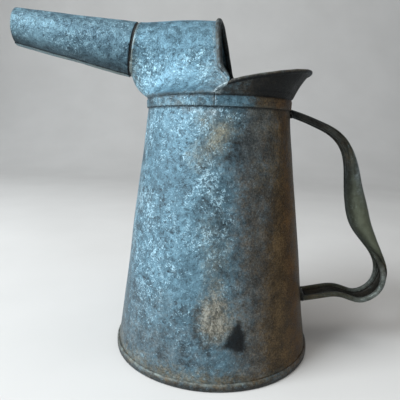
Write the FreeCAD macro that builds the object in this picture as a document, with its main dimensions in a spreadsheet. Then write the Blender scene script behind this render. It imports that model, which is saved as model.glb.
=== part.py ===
import FreeCAD, Part
import Sketcher
import math
import os
from FreeCAD import Vector, Placement, Rotation

# Galvanised sheet-steel oil measure: tapered body, set-in bottom, hooded top with a
# push-on conical spout, flared filling lip and a strap handle with rolled edges.
# Frame: +Z up, origin in the middle of the foot ring, spout towards -X, handle towards +X.

doc = FreeCAD.newDocument("oil_measure")

# ---------------------------------------------------------------- driving dimensions (mm, degrees)
DIMENSIONS = [
    ("gauge", 0.6, "sheet thickness"),
    ("foot_radius", 57.5, "outside of the foot rim"),
    ("foot_inner", 54.6, "inside of the foot rim"),
    ("foot_height", 4.2, "height of the foot rim"),
    ("pan_rise", 4.2, "underside of the set-in bottom"),
    ("wall_foot_radius", 56.45, "outside of the wall at its lower edge"),
    ("wall_foot_level", 0.75, "lower edge of the wall"),
    ("wall_neck_radius", 39.5, "outside of the wall at the collar"),
    ("wall_neck_level", 136.8, "where the taper ends"),
    ("wall_top_level", 141.6, "upper edge of the wall inside the collar"),
    ("seam_width", 5.0, "folded side seam"),
    ("seam_height", 0.7, "folded side seam, proud of the wall"),
    ("collar_radius", 40.3, "outside of the collar"),
    ("collar_level", 137.3, "lower edge of the collar"),
    ("crease_level", 142.9, "pressed crease above the collar"),
    ("crease_depth", 0.5, "depth of the crease"),
    ("flare_level", 143.3, "where hood and lip start to leave the collar"),
    ("flare_radius", 40.6, "radius there"),
    ("lip_radius", 49.2, "middle of the lip's rolled edge at the back"),
    ("lip_level", 157.5, "height of the lip's rolled edge at the back"),
    ("lip_side_level", 147.2, "height of the lip's rolled edge at the sides"),
    ("lip_dip_x", 6.5, "where the lip's edge starts to dip to the collar"),
    ("lip_dip_slope", 30.0, "slope of that dip"),
    ("lip_roll_radius", 1.25, "rolled edge of the lip"),
    ("lip_wire_radius", 0.7, "wire in it"),
    ("hood_roll_radius", 1.6, "rolled edge of the hood's arch"),
    ("hood_wire_radius", 1.0, "wire in it"),
    ("arch_turn", 6.3, "turn of the arch about the vertical"),
    ("arch_lean", 8.4, "lean of the arch towards the spout"),
    ("arch_level", 185.0, "height of the arch's crown"),
    ("arch_offset", -0.85, "crown of the arch, distance behind the can's axis"),
    ("seam_turn", 3.0, "turn of the collar's joint about the vertical"),
    ("seam_offset", 1.4, "collar's joint, distance behind the can's axis"),
    ("spout_turn", 4.0, "turn of hood and spout about the vertical"),
    ("spout_rise", 9.5, "rise of the spout above level"),
    ("mouth_x", 46.8, "mouth centre, distance in front of the axis"),
    ("mouth_z", 168.5, "mouth centre, height"),
    ("mouth_radius", 14.42, "outside of the hood at the mouth"),
    ("mouth_hole", 12.6, "hole in the hood's front"),
    ("root_gap", 1.2, "open gap between hood and spout"),
    ("root_radius", 14.65, "outside of the spout at its root"),
    ("tip_radius", 9.7, "outside of the spout at its tip"),
    ("spout_length", 65.2, "spout, along its axis"),
    ("spout_gauge", 0.6, "sheet of the spout"),
    ("lap_width", 4.0, "lap seam under the spout"),
    ("lap_height", 0.5, "lap seam, proud of the cone"),
    ("sleeve_length", 26.0, "nozzle sleeve in front of the hood"),
    ("sleeve_gap", 0.12, "clearance between sleeve and spout"),
    ("sleeve_gauge", 0.7, "sheet of the sleeve"),
    ("sleeve_play", 0.08, "clearance of the sleeve in the hood's front"),
    ("lap_turn", 8.5, "lap seam, turned from straight down to the near side"),
    ("handle_half", 7.0, "half the distance between the handle's rolled edges"),
    ("handle_roll_radius", 1.5, "rolled edge of the handle"),
    ("handle_wire_radius", 0.9, "wire in it"),
    ("handle_gauge", 0.7, "sheet of the handle"),
]

sheet = doc.addObject("Spreadsheet::Sheet", "Dims")
for row, (alias, value, note) in enumerate(DIMENSIONS, 1):
    sheet.set("A%d" % row, note)
    sheet.set("B%d" % row, repr(value))
    sheet.setAlias("B%d" % row, alias)
doc.recompute()


class Size:
    """A number that carries the sheet expression it comes from."""

    def __init__(self, value, text):
        self.value, self.text = float(value), text

    @staticmethod
    def of(x):
        return x if isinstance(x, Size) else Size(x, repr(float(x)))

    def __add__(self, o):
        o = Size.of(o)
        return Size(self.value + o.value, "(%s + %s)" % (self.text, o.text))

    def __sub__(self, o):
        o = Size.of(o)
        return Size(self.value - o.value, "(%s - %s)" % (self.text, o.text))

    def __mul__(self, o):
        o = Size.of(o)
        return Size(self.value * o.value, "(%s * %s)" % (self.text, o.text))

    def __truediv__(self, o):
        o = Size.of(o)
        return Size(self.value / o.value, "(%s / %s)" % (self.text, o.text))


def dim(alias):
    return Size(getattr(sheet, alias), "Dims." + alias)


def num(alias):
    return float(getattr(sheet, alias))


# ---------------------------------------------------------------- sketch helpers
def origin_plane(body, role):
    return [f for f in body.Origin.OriginFeatures if f.Role == role][0]


def outline(body, name, role, points):
    """Closed outline; every corner is placed from the sketch origin by sheet expressions."""
    sk = body.newObject("Sketcher::SketchObject", name)
    sk.AttachmentSupport = [(origin_plane(body, role), "")]
    sk.MapMode = "FlatFace"
    pts = [(Size.of(a), Size.of(b)) for a, b in points]
    count = len(pts)
    for i in range(count):
        a, b = pts[i], pts[(i + 1) % count]
        sk.addGeometry(
            Part.LineSegment(
                Vector(a[0].value, a[1].value, 0), Vector(b[0].value, b[1].value, 0)
            ),
            False,
        )
    for i in range(count):
        sk.addConstraint(Sketcher.Constraint("Coincident", i, 2, (i + 1) % count, 1))
    for i, (x, y) in enumerate(pts):
        for kind, q, axis, tag in (("DistanceX", x, -2, "x"), ("DistanceY", y, -1, "y")):
            if abs(q.value) < 1e-9:
                sk.addConstraint(Sketcher.Constraint("PointOnObject", i, 1, axis))
            else:
                k = sk.addConstraint(
                    Sketcher.Constraint(kind, -1, 1, i, 1, q.value)
                )
                label = "%s%d" % (tag, i)
                sk.renameConstraint(k, label)
                sk.setExpression("Constraints." + label, q.text)
    return sk


def turned(label, points, place=None):
    """A turned piece: outline in the XZ plane, revolved about Z."""
    body = doc.addObject("PartDesign::Body", label + "_body")
    body.Label = label
    sk = outline(body, label + "_outline", "XZ_Plane", points)
    rev = body.newObject("PartDesign::Revolution", label + "_turned")
    rev.Profile = sk
    rev.ReferenceAxis = (sk, ["V_Axis"])
    rev.Angle = 360.0
    if place is not None:
        body.Placement = place
    return body


def strip(body, label, role, points, width):
    """A straight folded seam on the outside of a turned piece."""
    sk = outline(body, label + "_outline", role, points)
    pad = body.newObject("PartDesign::Pad", label)
    pad.Profile = sk
    pad.SideType = "Symmetric"
    pad.Length = width.value
    pad.setExpression("Length", width.text)
    return pad


def feature(label, shape):
    obj = doc.addObject("Part::Feature", label)
    obj.Label = label
    obj.Shape = shape
    obj.Placement = Placement()
    return obj


def cut(label, base, *tools):
    """base minus tools, as document features."""
    for k, tool in enumerate(tools):
        name = label if k == len(tools) - 1 else "%s_cut%d" % (label, k)
        op = doc.addObject("Part::Cut", name)
        op.Base, op.Tool = base, tool
        base = op
    doc.recompute()
    return base


def turn_z(p, deg):
    a = math.radians(deg)
    return Vector(
        p[0] * math.cos(a) - p[1] * math.sin(a),
        p[0] * math.sin(a) + p[1] * math.cos(a),
        p[2],
    )


# ---------------------------------------------------------------- tangent arcs through points
def halfway(p, q, t0, t1):
    """Point and direction where two tangent arcs from p to q meet."""
    v, s = q.sub(p), t0.add(t1)
    root = math.sqrt(v.dot(s) ** 2 + 2.0 * (1.0 - t0.dot(t1)) * v.dot(v))
    d = v.dot(v) / (v.dot(s) + root)
    a, b = p + t0 * d, q - t1 * d
    tj = b - a
    tj.normalize()
    return (a + b) * 0.5, tj


def arc_chain(points, tangents):
    """Pairs of tangent arcs through points with the given unit tangents."""
    edges = []

    def arc(p, t, q):
        chord = q.sub(p)
        aside = chord - t * chord.dot(t)
        if aside.Length < 1e-4 * chord.Length:
            edges.append(Part.LineSegment(p, q).toShape())
            return
        aside.normalize()
        radius = chord.dot(chord) / (2.0 * chord.dot(aside))
        centre = p + aside * radius
        out = (p + q) * 0.5 - centre
        out.normalize()
        edges.append(Part.Arc(p, centre + out * radius, q).toShape())

    for i in range(len(points) - 1):
        p, q, t0, t1 = points[i], points[i + 1], tangents[i], tangents[i + 1]
        joint, tj = halfway(p, q, t0, t1)
        arc(p, t0, joint)
        arc(joint, tj, q)
    return Part.Wire(edges)


def smooth_tangents(points):
    out = []
    for i in range(len(points)):
        if i == 0:
            a, b, c = points[0], points[1], points[2]
            t = (b.sub(a)) * 2.0 - (c.sub(a)) * 0.5
        elif i == len(points) - 1:
            a, b, c = points[-1], points[-2], points[-3]
            t = (a.sub(b)) * 2.0 - (a.sub(c)) * 0.5
        else:
            u, v = points[i].sub(points[i - 1]), points[i + 1].sub(points[i])
            t = u * (v.Length / u.Length) + v * (u.Length / v.Length)
        t = Vector(t)
        t.normalize()
        out.append(t)
    return out


def rod(path, radius):
    """A round bar along a path of tangent arcs."""
    first = path.OrderedEdges[0]
    p = first.valueAt(first.FirstParameter)
    t = first.tangentAt(first.FirstParameter)
    if first.Orientation == "Reversed":
        p, t = first.valueAt(first.LastParameter), first.tangentAt(first.LastParameter) * -1
    section = Part.Wire(Part.Circle(p, t, radius).toShape())
    solid = path.makePipeShell([section], True, False)
    want = math.pi * radius * radius * path.Length
    if not solid.isValid() or abs(solid.Volume - want) > 0.03 * want:
        raise RuntimeError("rod volume %.2f, wanted %.2f" % (solid.Volume, want))
    return solid


# ================================================================ body
gauge = dim("gauge")
wall_foot, wall_neck = dim("wall_foot_radius"), dim("wall_neck_radius")
level_foot, level_neck = dim("wall_foot_level"), dim("wall_neck_level")
taper = (wall_foot - wall_neck) / (level_neck - level_foot)

body_shell = turned(
    "body_shell",
    [
        (wall_foot - gauge, level_foot),
        (wall_foot, level_foot),
        (wall_neck, level_neck),
        (wall_neck, dim("wall_top_level")),
        (wall_neck - gauge, dim("wall_top_level")),
        (wall_neck - gauge, level_neck),
    ],
)


def wall_radius(level):
    """Outside radius of the tapered wall at a level."""
    return wall_foot - taper * (Size.of(level) - level_foot)


seam_low, seam_high = Size.of(8.0), Size.of(134.0)
strip(
    body_shell,
    "side_seam",
    "YZ_Plane",
    [
        (wall_radius(seam_low) - 0.3, seam_low),
        (wall_radius(seam_low) + dim("seam_height"), seam_low),
        (wall_radius(seam_high) + dim("seam_height"), seam_high),
        (wall_radius(seam_high) - 0.3, seam_high),
    ],
    dim("seam_width"),
)

foot, foot_in, rise = dim("foot_radius"), dim("foot_inner"), dim("pan_rise")
rim = dim("foot_height")
base_pan = turned(
    "base_pan",
    [
        (0, rise),
        (foot_in, rise),
        (foot_in, 0.5),
        (foot_in + 0.5, 0),
        (foot - 0.5, 0),
        (foot, 0.6),
        (foot, rim - 0.7),
        (foot - 0.6, rim),
        (foot - 1.25, rim),
        (foot - 1.25, rim - gauge),
        (foot - 0.65, rim - gauge - 0.3),
        (foot - 0.65, 0.65),
        (foot_in + gauge, 0.65),
        (foot_in + gauge, rise + gauge),
        (0, rise + gauge),
    ],
)

base_solder = turned(
    "base_solder",
    [
        (foot_in - 2.0, rise + gauge + 0.02),
        (foot_in + gauge, rise + gauge + 0.02),
        (foot_in + 0.4, rise + gauge + 2.4),
    ],
)

collar, collar_low = dim("collar_radius"), dim("collar_level")
collar_solder = turned(
    "collar_solder",
    [
        (wall_neck + 0.02, collar_low + 0.3),
        (collar - gauge - 0.02, collar_low + 0.3),
        (collar - gauge - 0.02, dim("wall_top_level")),
        (wall_neck + 0.02, dim("wall_top_level")),
    ],
)

# ================================================================ collar halves, lip and hood
crease, crease_in = dim("crease_level"), dim("crease_depth")
flare_z, flare_r = dim("flare_level"), dim("flare_radius")

collar_turned = turned(
    "collar_turned",
    [
        (collar, collar_low),
        (collar + 0.2, crease - 1.1),
        (collar + 0.2 - crease_in, crease - 0.2),
        (flare_r - 0.12, flare_z - 0.05),
        (flare_r - 0.12, flare_z + 0.15),
        (flare_r - gauge + 0.12, flare_z + 0.15),
        (flare_r - gauge + 0.12, flare_z - 0.05),
        (collar + 0.2 - crease_in - gauge, crease - 0.2),
        (collar + 0.2 - gauge, crease - 1.1),
        (collar - gauge, collar_low),
    ],
)

lip_r, lip_z = dim("lip_radius"), dim("lip_level")
reach_r, reach_z = lip_r - flare_r, lip_z - flare_z
lip_out = [
    (flare_r, flare_z),
    (flare_r + reach_r * 0.06, flare_z + reach_z * 0.07),
    (flare_r + reach_r * 0.19, flare_z + reach_z * 0.23),
    (flare_r + reach_r * 0.41, flare_z + reach_z * 0.49),
    (flare_r + reach_r * 0.67, flare_z + reach_z * 0.735),
    (flare_r + reach_r, flare_z + reach_z),
    (flare_r + reach_r * 1.3, flare_z + reach_z * 1.2),
]
lean_in = [(0.6, 0.0), (0.56, -0.2), (0.53, -0.28), (0.52, -0.3), (0.48, -0.36), (0.44, -0.41), (0.40, -0.45)]
lip_in = [(r - n[0], z - n[1]) for (r, z), n in zip(lip_out, lean_in)]
lip_turned = turned("lip_turned", lip_out + lip_in[::-1])
doc.recompute()


def upright_frame(turn, lean, offset, level):
    """Frame on a joint plane: local X points to the back of the can, across the plane."""
    return Placement(Vector(offset, 0, level), Rotation(Vector(0, 0, 1), -turn)).multiply(
        Placement(Vector(0, 0, 0), Rotation(Vector(0, 1, 0), -lean))
    )


def side_block(label, frame, gap, behind):
    """Block on one side of a joint plane, gap away from it."""
    box = doc.addObject("Part::Box", label)
    box.Length, box.Width, box.Height = 160, 200, 240
    box.Placement = frame.multiply(
        Placement(Vector(gap if behind else -gap - 160, -100, -120), Rotation())
    )
    return box


arch_frame = upright_frame(num("arch_turn"), num("arch_lean"), num("arch_offset"), num("arch_level"))
seam_frame = upright_frame(num("seam_turn"), 0.0, num("seam_offset"), num("collar_level"))
ahead = arch_frame.Rotation.multVec(Vector(1, 0, 0))
along = arch_frame.Rotation.multVec(Vector(0, 1, 0))
upward = arch_frame.Rotation.multVec(Vector(0, 0, 1))

behind_arch = side_block("behind_arch", arch_frame, 0.0, True)
before_arch = side_block("before_arch", arch_frame, -0.15, False)
behind_seam = side_block("behind_seam", seam_frame, 0.0, True)
before_seam = side_block("before_seam", seam_frame, -0.15, False)

# lip edge plane: falls from the back to the sides
fall = math.degrees(math.atan2(num("lip_level") - num("lip_side_level"), num("lip_radius")))
above_lip = doc.addObject("Part::Box", "above_lip_edge")
above_lip.Length, above_lip.Width, above_lip.Height = 200, 200, 60
above_lip.Placement = Placement(
    Vector(0, 0, num("lip_side_level")), Rotation(Vector(0, 1, 0), -fall)
).multiply(Placement(Vector(-100, -100, 0), Rotation()))

# near the collar's joint the lip's edge dips down to the collar
dip_level = num("lip_side_level") + math.tan(math.radians(fall)) * num("lip_dip_x")
above_dip = doc.addObject("Part::Box", "above_lip_dip")
above_dip.Length, above_dip.Width, above_dip.Height = 200, 200, 60
above_dip.Placement = Placement(
    Vector(num("lip_dip_x"), 0, dip_level), Rotation(Vector(0, 1, 0), -num("lip_dip_slope"))
).multiply(Placement(Vector(-100, -100, 0), Rotation()))

# ---- hood: drawn from the round collar through leaning sections to the round mouth
kap = num("spout_turn")
alpha = math.radians(num("spout_rise"))
axis_local = Vector(-math.cos(alpha), 0, math.sin(alpha))
upright_local = Vector(math.sin(alpha), 0, math.cos(alpha))
mouth_local = Vector(-num("mouth_x"), 0, num("mouth_z"))
mouth = turn_z(mouth_local, kap)
axis = turn_z(axis_local, kap)
mr, wall = num("mouth_radius"), num("gauge")
m_low, m_high = mouth_local - upright_local * mr, mouth_local + upright_local * mr

z0, r0 = num("flare_level"), num("flare_radius")
HOOD_SECTIONS = [
    # front point, top point (x, z), half width, fullness, inset of the inside at front, top and sides
    ((-r0, z0), (r0, z0), r0, 2.0, 0.60, 0.60, 0.60),
    ((-42.4, 144.4), (36.5, 158.5), 28.5, 2.0, 0.66, 0.62, 0.72),
    ((-44.7, 146.5), (26.5, 173.0), 21.5, 2.05, 0.64, 0.67, 0.66),
    ((-46.9, 149.4), (11.0, 182.2), 18.2, 2.1, 0.60, 0.95, 0.62),
    ((-48.2, 152.2), (-7.0, 184.6), 16.2, 2.1, 0.60, 0.95, 0.60),
    ((-48.9, 153.8), (-25.0, 184.0), 15.0, 2.05, 0.60, 0.77, 0.60),
    ((m_low.x, m_low.z), (m_high.x, m_high.z), mr, 2.0, 0.60, 0.60, 0.60),
]


def hood_section(section, inside, steps):
    """Points of one leaning section, from its top point round the front and back."""
    front, top, half, full, in_front, in_top, in_side = section
    f, t = Vector(front[0], 0, front[1]), Vector(top[0], 0, top[1])
    if inside:
        d = t - f
        d.normalize()
        f, t, half = f + d * in_front, t - d * in_top, half - in_side
        if section is HOOD_SECTIONS[-1]:
            f, t = f - axis_local * wall, t - axis_local * wall
    centre, reach = (f + t) * 0.5, (t - f) * 0.5
    pts = []
    for k in range(steps):
        a = 2.0 * math.pi * k / steps
        u = math.copysign(abs(math.cos(a)) ** (2.0 / full), math.cos(a))
        v = math.copysign(abs(math.sin(a)) ** (2.0 / full), math.sin(a))
        pts.append(turn_z(centre + reach * u + Vector(0, half * v, 0), kap))
    return pts


def solve(matrix, rows):
    """Gaussian elimination; rows are lists of vectors."""
    n = len(matrix)
    m = [list(r) for r in matrix]
    x = [list(r) for r in rows]
    for i in range(n):
        k = max(range(i, n), key=lambda r: abs(m[r][i]))
        m[i], m[k], x[i], x[k] = m[k], m[i], x[k], x[i]
        for r in range(n):
            if r != i and m[r][i] != 0.0:
                q = m[r][i] / m[i][i]
                m[r] = [c - q * d for c, d in zip(m[r], m[i])]
                x[r] = [c - d * q for c, d in zip(x[r], x[i])]
    return [[c * (1.0 / m[i][i]) for c in x[i]] for i in range(n)]


def basis(i, k, t, knots):
    if k == 0:
        last = knots[i + 1] == knots[-1] and t == knots[-1] and knots[i] < knots[i + 1]
        return 1.0 if knots[i] <= t < knots[i + 1] or last else 0.0
    out = 0.0
    if knots[i + k] > knots[i]:
        out += (t - knots[i]) / (knots[i + k] - knots[i]) * basis(i, k - 1, t, knots)
    if knots[i + k + 1] > knots[i + 1]:
        out += (knots[i + k + 1] - t) / (knots[i + k + 1] - knots[i + 1]) * basis(i + 1, k - 1, t, knots)
    return out


def skin(sections):
    """Cubic surface through closed sections, periodic round each section."""
    n, m = len(sections[0]), len(sections)
    ring = [[0.0] * n for _ in range(n)]
    for i in range(n):
        ring[i][(i - 1) % n] += 1.0 / 6.0
        ring[i][i] += 4.0 / 6.0
        ring[i][(i + 1) % n] += 1.0 / 6.0
    round_poles = solve(ring, [[sec[i] for sec in sections] for i in range(n)])
    par = [j / (m - 1.0) for j in range(m)]
    inner = [sum(par[j : j + 3]) / 3.0 for j in range(1, m - 3)]
    knots = [0.0] * 4 + inner + [1.0] * 4
    length = [[basis(j, 3, t, knots) for j in range(m)] for t in par]
    poles = solve(length, [[round_poles[i][j] for i in range(n)] for j in range(m)])
    grid = [[poles[j][i] for j in range(m)] for i in range(n)]
    surf = Part.BSplineSurface()
    surf.buildFromPolesMultsKnots(
        grid,
        [1] * (n + 1),
        [4] + [1] * len(inner) + [4],
        [float(i) for i in range(n + 1)],
        [0.0] + inner + [1.0],
        True,
        False,
        3,
        3,
    )
    return surf


STEPS = 32
outside = skin([hood_section(s, False, STEPS) for s in HOOD_SECTIONS])
inside = skin([hood_section(s, True, STEPS) for s in HOOD_SECTIONS])


def rim_wire(surf, v):
    return Part.Wire(surf.vIso(v).toShape())


hood_faces = [
    outside.toShape(),
    inside.toShape(),
    Part.makeFace([rim_wire(outside, 0.0), rim_wire(inside, 0.0)], "Part::FaceMakerBullseye"),
    Part.makeFace([rim_wire(outside, 1.0)], "Part::FaceMakerSimple"),
    Part.makeFace([rim_wire(inside, 1.0)], "Part::FaceMakerSimple"),
]


def closed_solid(faces):
    shell = Part.makeCompound(faces)
    shell.sewShape()
    solid = Part.Solid(shell.Shells[0])
    if solid.Volume < 0:
        solid.reverse()
    return solid


hood_loft = closed_solid(
    [outside.toShape(), hood_faces[3], Part.makeFace([rim_wire(outside, 0.0)], "Part::FaceMakerSimple")]
)
hood_drawn = feature("hood_drawn", closed_solid(hood_faces))

mouth_drill = doc.addObject("Part::Cylinder", "mouth_drill")
mouth_drill.setExpression("Radius", "Dims.mouth_hole")
mouth_drill.Height = 12.0
mouth_drill.Placement = Placement(mouth - axis * 6.0, Rotation(Vector(0, 0, 1), axis))

# ---- rolled edge of the arch
arch_foot = num("lip_side_level") + 3.6
arch_pts = []
for w in hood_loft.slice(ahead, ahead.dot(arch_frame.Base)):
    for e in w.Edges:
        if e.BoundBox.ZMax > z0 + 3.0:
            arch_pts += e.discretize(Number=400)
arch_pts = [p for p in arch_pts if p.z > arch_foot]
eye = Vector(arch_frame.Base.x, 0, arch_foot - 6.0)
arch_pts.sort(key=lambda p: math.atan2((p - eye).dot(upward), (p - eye).dot(along)))
keep = [arch_pts[0]]
for p in arch_pts:
    if p.sub(keep[-1]).Length > 5.2:
        keep.append(p)
if arch_pts[-1].sub(keep[-1]).Length > 2.5:
    keep.append(arch_pts[-1])
arch_path = arc_chain(keep, smooth_tangents(keep))
print("arch", len(keep), "points, length %.1f" % arch_path.Length, keep[0], keep[len(keep) // 2], keep[-1])
hood_bar = rod(arch_path, num("hood_roll_radius"))
hood_core = rod(arch_path, num("hood_wire_radius") + 0.02)
hood_edge_roll = feature("hood_edge_roll", hood_bar.cut(hood_core))
hood_rim_wire = feature("hood_rim_wire", rod(arch_path, num("hood_wire_radius")))
hood_bar_tool = feature("hood_edge_tool", hood_bar)

# ---- rolled edge of the lip: where the flare meets the lip edge plane
flare_curve = [(Size.of(r).value, Size.of(z).value) for r, z in lip_out]


def flare_radius_at(z):
    for (ra, za), (rb, zb) in zip(flare_curve, flare_curve[1:]):
        if z <= zb:
            return ra + (rb - ra) * (z - za) / (zb - za)
    return flare_curve[-1][0]


def lip_point(deg):
    z, a = num("lip_side_level"), math.radians(deg)
    for _ in range(60):
        r = flare_radius_at(z)
        z = num("lip_side_level") + math.tan(math.radians(fall)) * r * math.cos(a)
    return Vector(r * math.cos(a), r * math.sin(a), z)


lip_pts = [lip_point(d) for d in (-81, -70, -57, -44, -30, -15, 0, 15, 30, 44, 57, 70, 81)]
lip_path = arc_chain(lip_pts, smooth_tangents(lip_pts))
lip_bar = rod(lip_path, num("lip_roll_radius"))
lip_core = rod(lip_path, num("lip_wire_radius") + 0.02)
lip_edge_roll = feature("lip_edge_roll", lip_bar.cut(lip_core))
lip_rim_wire = feature("lip_rim_wire", rod(lip_path, num("lip_wire_radius")))
lip_bar_tool = feature("lip_edge_tool", lip_bar)
doc.recompute()

rear_collar = cut("rear_collar", collar_turned, before_seam)
rear_flare = cut("rear_flare", lip_turned, above_lip, above_dip, before_arch, hood_bar_tool, lip_bar_tool)
filler_lip = doc.addObject("Part::Fuse", "filler_lip")
filler_lip.Base, filler_lip.Tool = rear_collar, rear_flare

front_collar = cut("front_collar", collar_turned, behind_seam)
hood_open = cut("hood_open", hood_drawn, behind_arch, mouth_drill, hood_bar_tool)
spout_hood = doc.addObject("Part::Fuse", "spout_hood")
spout_hood.Base, spout_hood.Tool = hood_open, front_collar
doc.recompute()

# ================================================================ nozzle sleeve and spout (local Z along the spout)
# local +X hangs down after placing, turned a little to the near side, where the lap seam lies
low = turn_z(upright_local * -1.0, kap)
low = Rotation(axis, num("lap_turn")).multVec(low)
spout_place = Placement(mouth, Rotation(low, axis.cross(low), axis, "ZXY"))

root_gap, root_r, tip_r = dim("root_gap"), dim("root_radius"), dim("tip_radius")
length, sg = dim("spout_length"), dim("spout_gauge")
cone_taper = (root_r - tip_r) / length
spout_cone = turned(
    "spout_cone",
    [
        (root_r - sg, root_gap),
        (root_r, root_gap),
        (tip_r, root_gap + length),
        (tip_r - sg, root_gap + length),
    ],
    spout_place,
)
strip(
    spout_cone,
    "lap_seam",
    "XZ_Plane",
    [
        (root_r - 0.3, root_gap),
        (root_r + dim("lap_height"), root_gap),
        (tip_r + dim("lap_height"), root_gap + length),
        (tip_r - 0.3, root_gap + length),
    ],
    dim("lap_width"),
)

hole, play, slg = dim("mouth_hole"), dim("sleeve_play"), dim("sleeve_gauge")
gap, reach = dim("sleeve_gap"), dim("sleeve_length")
sleeve_r = root_r - sg - gap
nozzle_sleeve = turned(
    "nozzle_sleeve",
    [
        (hole - play - slg, -1.5),
        (mr - 0.95, -1.5),
        (mr - 0.95, -0.75),
        (hole - play, -0.75),
        (hole - play, 0.12),
        (sleeve_r, 0.12),
        (sleeve_r, root_gap + 0.4),
        (sleeve_r - cone_taper * (reach - root_gap), reach),
        (sleeve_r - cone_taper * (reach - root_gap) - slg, reach),
        (sleeve_r - slg, root_gap + 0.4),
        (hole - play - slg, root_gap),
    ],
    spout_place,
)
doc.recompute()

# ================================================================ handle
# middle of the rolled edges seen from the side (x, z), the crown's height over them, half the distance
# between the rolled edges, half the width of the strap, and how far the strap closes round (0 flat, 1 oval)
HANDLE = [
    (37.5, 136.9, 2.5, 5.0, 3.46, 0.0),
    (44.4, 134.9, 2.6, 5.0, 3.46, 0.0),
    (55.4, 130.6, 2.8, 5.0, 3.6, 0.05),
    (65.6, 125.0, 3.2, 4.6, 4.9, 0.35),
    (71.5, 117.3, 4.0, 3.4, 6.1, 0.7),
    (73.9, 107.0, 6.1, 2.1, 7.0, 0.95),
    (75.0, 95.5, 8.4, 1.6, 7.5, 1.0),
    (76.5, 85.0, 10.2, 1.6, 7.8, 1.0),
    (79.6, 75.2, 10.1, 1.6, 7.8, 1.0),
    (85.5, 67.1, 7.8, 1.9, 7.5, 1.0),
    (91.3, 60.5, 5.1, 3.2, 7.2, 0.85),
    (95.6, 54.0, 3.6, 5.2, 6.9, 0.5),
    (97.8, 46.0, 3.4, 6.6, 6.0, 0.15),
    (96.2, 38.2, 3.1, 7.0, 5.46, 0.0),
    (91.4, 33.2, 2.9, 7.0, 5.46, 0.0),
    (85.6, 31.2, 2.7, 7.0, 5.46, 0.0),
    (79.4, 32.6, 2.6, 7.0, 5.46, 0.0),
    (73.0, 34.0, 2.5, 7.0, 5.46, 0.0),
    (64.0, 32.7, 2.5, 7.0, 5.46, 0.0),
    (54.5, 30.6, 2.5, 7.0, 5.46, 0.0),
    (48.0, 29.4, 2.5, 7.0, 5.46, 0.0),
]
roll_r, hg = num("handle_roll_radius"), num("handle_gauge")
spread = num("handle_half") / 7.0
edge_pts = [Vector(x, w * spread, z) for x, z, c, w, a, h in HANDLE]
edge_tan = smooth_tangents(edge_pts)


def handle_section(p, t, crown, wide, close):
    """Part of an oval from one rolled edge over the crown to the other, at a point of the rolled edge."""
    half, p, t = p.y, Vector(p.x, 0, p.z), Vector(t.x, 0, t.z)
    t.normalize()
    n = Vector(-t.z, 0, t.x)
    side = Vector(0, 1, 0)
    reach = roll_r + 0.15
    psi = math.radians(180.0 - 215.0 * close)
    start_y = half + reach * math.cos(psi)
    start_n = reach * math.sin(psi)
    wide = max(wide * spread, start_y)
    k = math.sqrt(max(0.0, 1.0 - (start_y / wide) ** 2))
    mid = (start_n + k * crown) / (1.0 + k)

    def bow(w, c):
        first = -math.asin(k)
        # the sheet ends beside the rolled edge
        while math.hypot(w * math.cos(first) - half, mid + c * math.sin(first)) < reach - 1e-6:
            first += 0.001
        pts = []
        for j in range(17):
            f = first + (math.pi - 2.0 * first) * j / 16.0
            pts.append(p + side * (w * math.cos(f)) + n * (mid + c * math.sin(f)))
        curve = Part.BSplineCurve()
        curve.interpolate(pts)
        return curve, pts

    outer, po = bow(wide, crown - mid)
    inner, pi_ = bow(wide - hg, crown - mid - hg)
    return Part.Wire(
        [
            outer.toShape(),
            Part.LineSegment(po[-1], pi_[-1]).toShape(),
            inner.toShape(),
            Part.LineSegment(pi_[0], po[0]).toShape(),
        ]
    )


def between(i, column):
    """A column's value half way from row i to the next, on a smooth curve."""
    q = [HANDLE[min(max(j, 0), len(HANDLE) - 1)][column] for j in (i - 1, i, i + 1, i + 2)]
    return (-q[0] + 9.0 * q[1] + 9.0 * q[2] - q[3]) / 16.0


sections = []
for i, row in enumerate(HANDLE):
    sections.append(handle_section(edge_pts[i], edge_tan[i], row[2], row[4], row[5]))
    if i + 1 < len(HANDLE):
        joint, tj = halfway(edge_pts[i], edge_pts[i + 1], edge_tan[i], edge_tan[i + 1])
        sections.append(
            handle_section(joint, tj, between(i, 2), between(i, 4), min(max(between(i, 5), 0.0), 1.0))
        )
strap_loft = Part.makeLoft(sections, True, False)
# everything inside the outside of wall and collar, so that the handle's feet stop there
wall_block = turned(
    "wall_block",
    [
        (Size.of(0.0), Size.of(0.0)),
        (wall_radius(0.0) + 0.05, Size.of(0.0)),
        (wall_neck + 0.05, level_neck),
        (wall_neck + 0.05, collar_low - 0.08),
        (collar + 0.28, collar_low - 0.08),
        (collar + 0.40, crease + 2.0),
        (Size.of(0.0), crease + 2.0),
    ],
)
strap_raw = feature("strap_raw", strap_loft)
doc.recompute()


def handle_rods(radius):
    out = []
    for y in (-spread, spread):
        pts = [Vector(x, y * w, z) for x, z, c, w, a, h in HANDLE]
        out.append(rod(arc_chain(pts, smooth_tangents(pts)), radius))
    return out


bars, cores = handle_rods(roll_r), handle_rods(num("handle_wire_radius") + 0.02)
rolls_raw = feature(
    "rolls_raw", Part.makeCompound([b.cut(c) for b, c in zip(bars, cores)])
)
wires_raw = feature(
    "wires_raw", Part.makeCompound(handle_rods(num("handle_wire_radius")))
)
bars_tool = feature("handle_bars_tool", Part.makeCompound(bars))
doc.recompute()
handle_strap = cut("handle_strap", strap_raw, wall_block)
handle_edge_rolls = cut("handle_edge_rolls", rolls_raw, wall_block)
handle_edge_wires = cut("handle_edge_wires", wires_raw, wall_block)


# ---- solder at the handle's feet and where hood and lip meet
def blob(label, centre, lean, radii, *tools):
    b = doc.addObject("Part::Ellipsoid", label + "_blob")
    b.Radius1, b.Radius2, b.Radius3 = radii[2], radii[0], radii[1]
    b.Placement = Placement(centre, lean)
    return cut(label, b, *tools)


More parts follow.
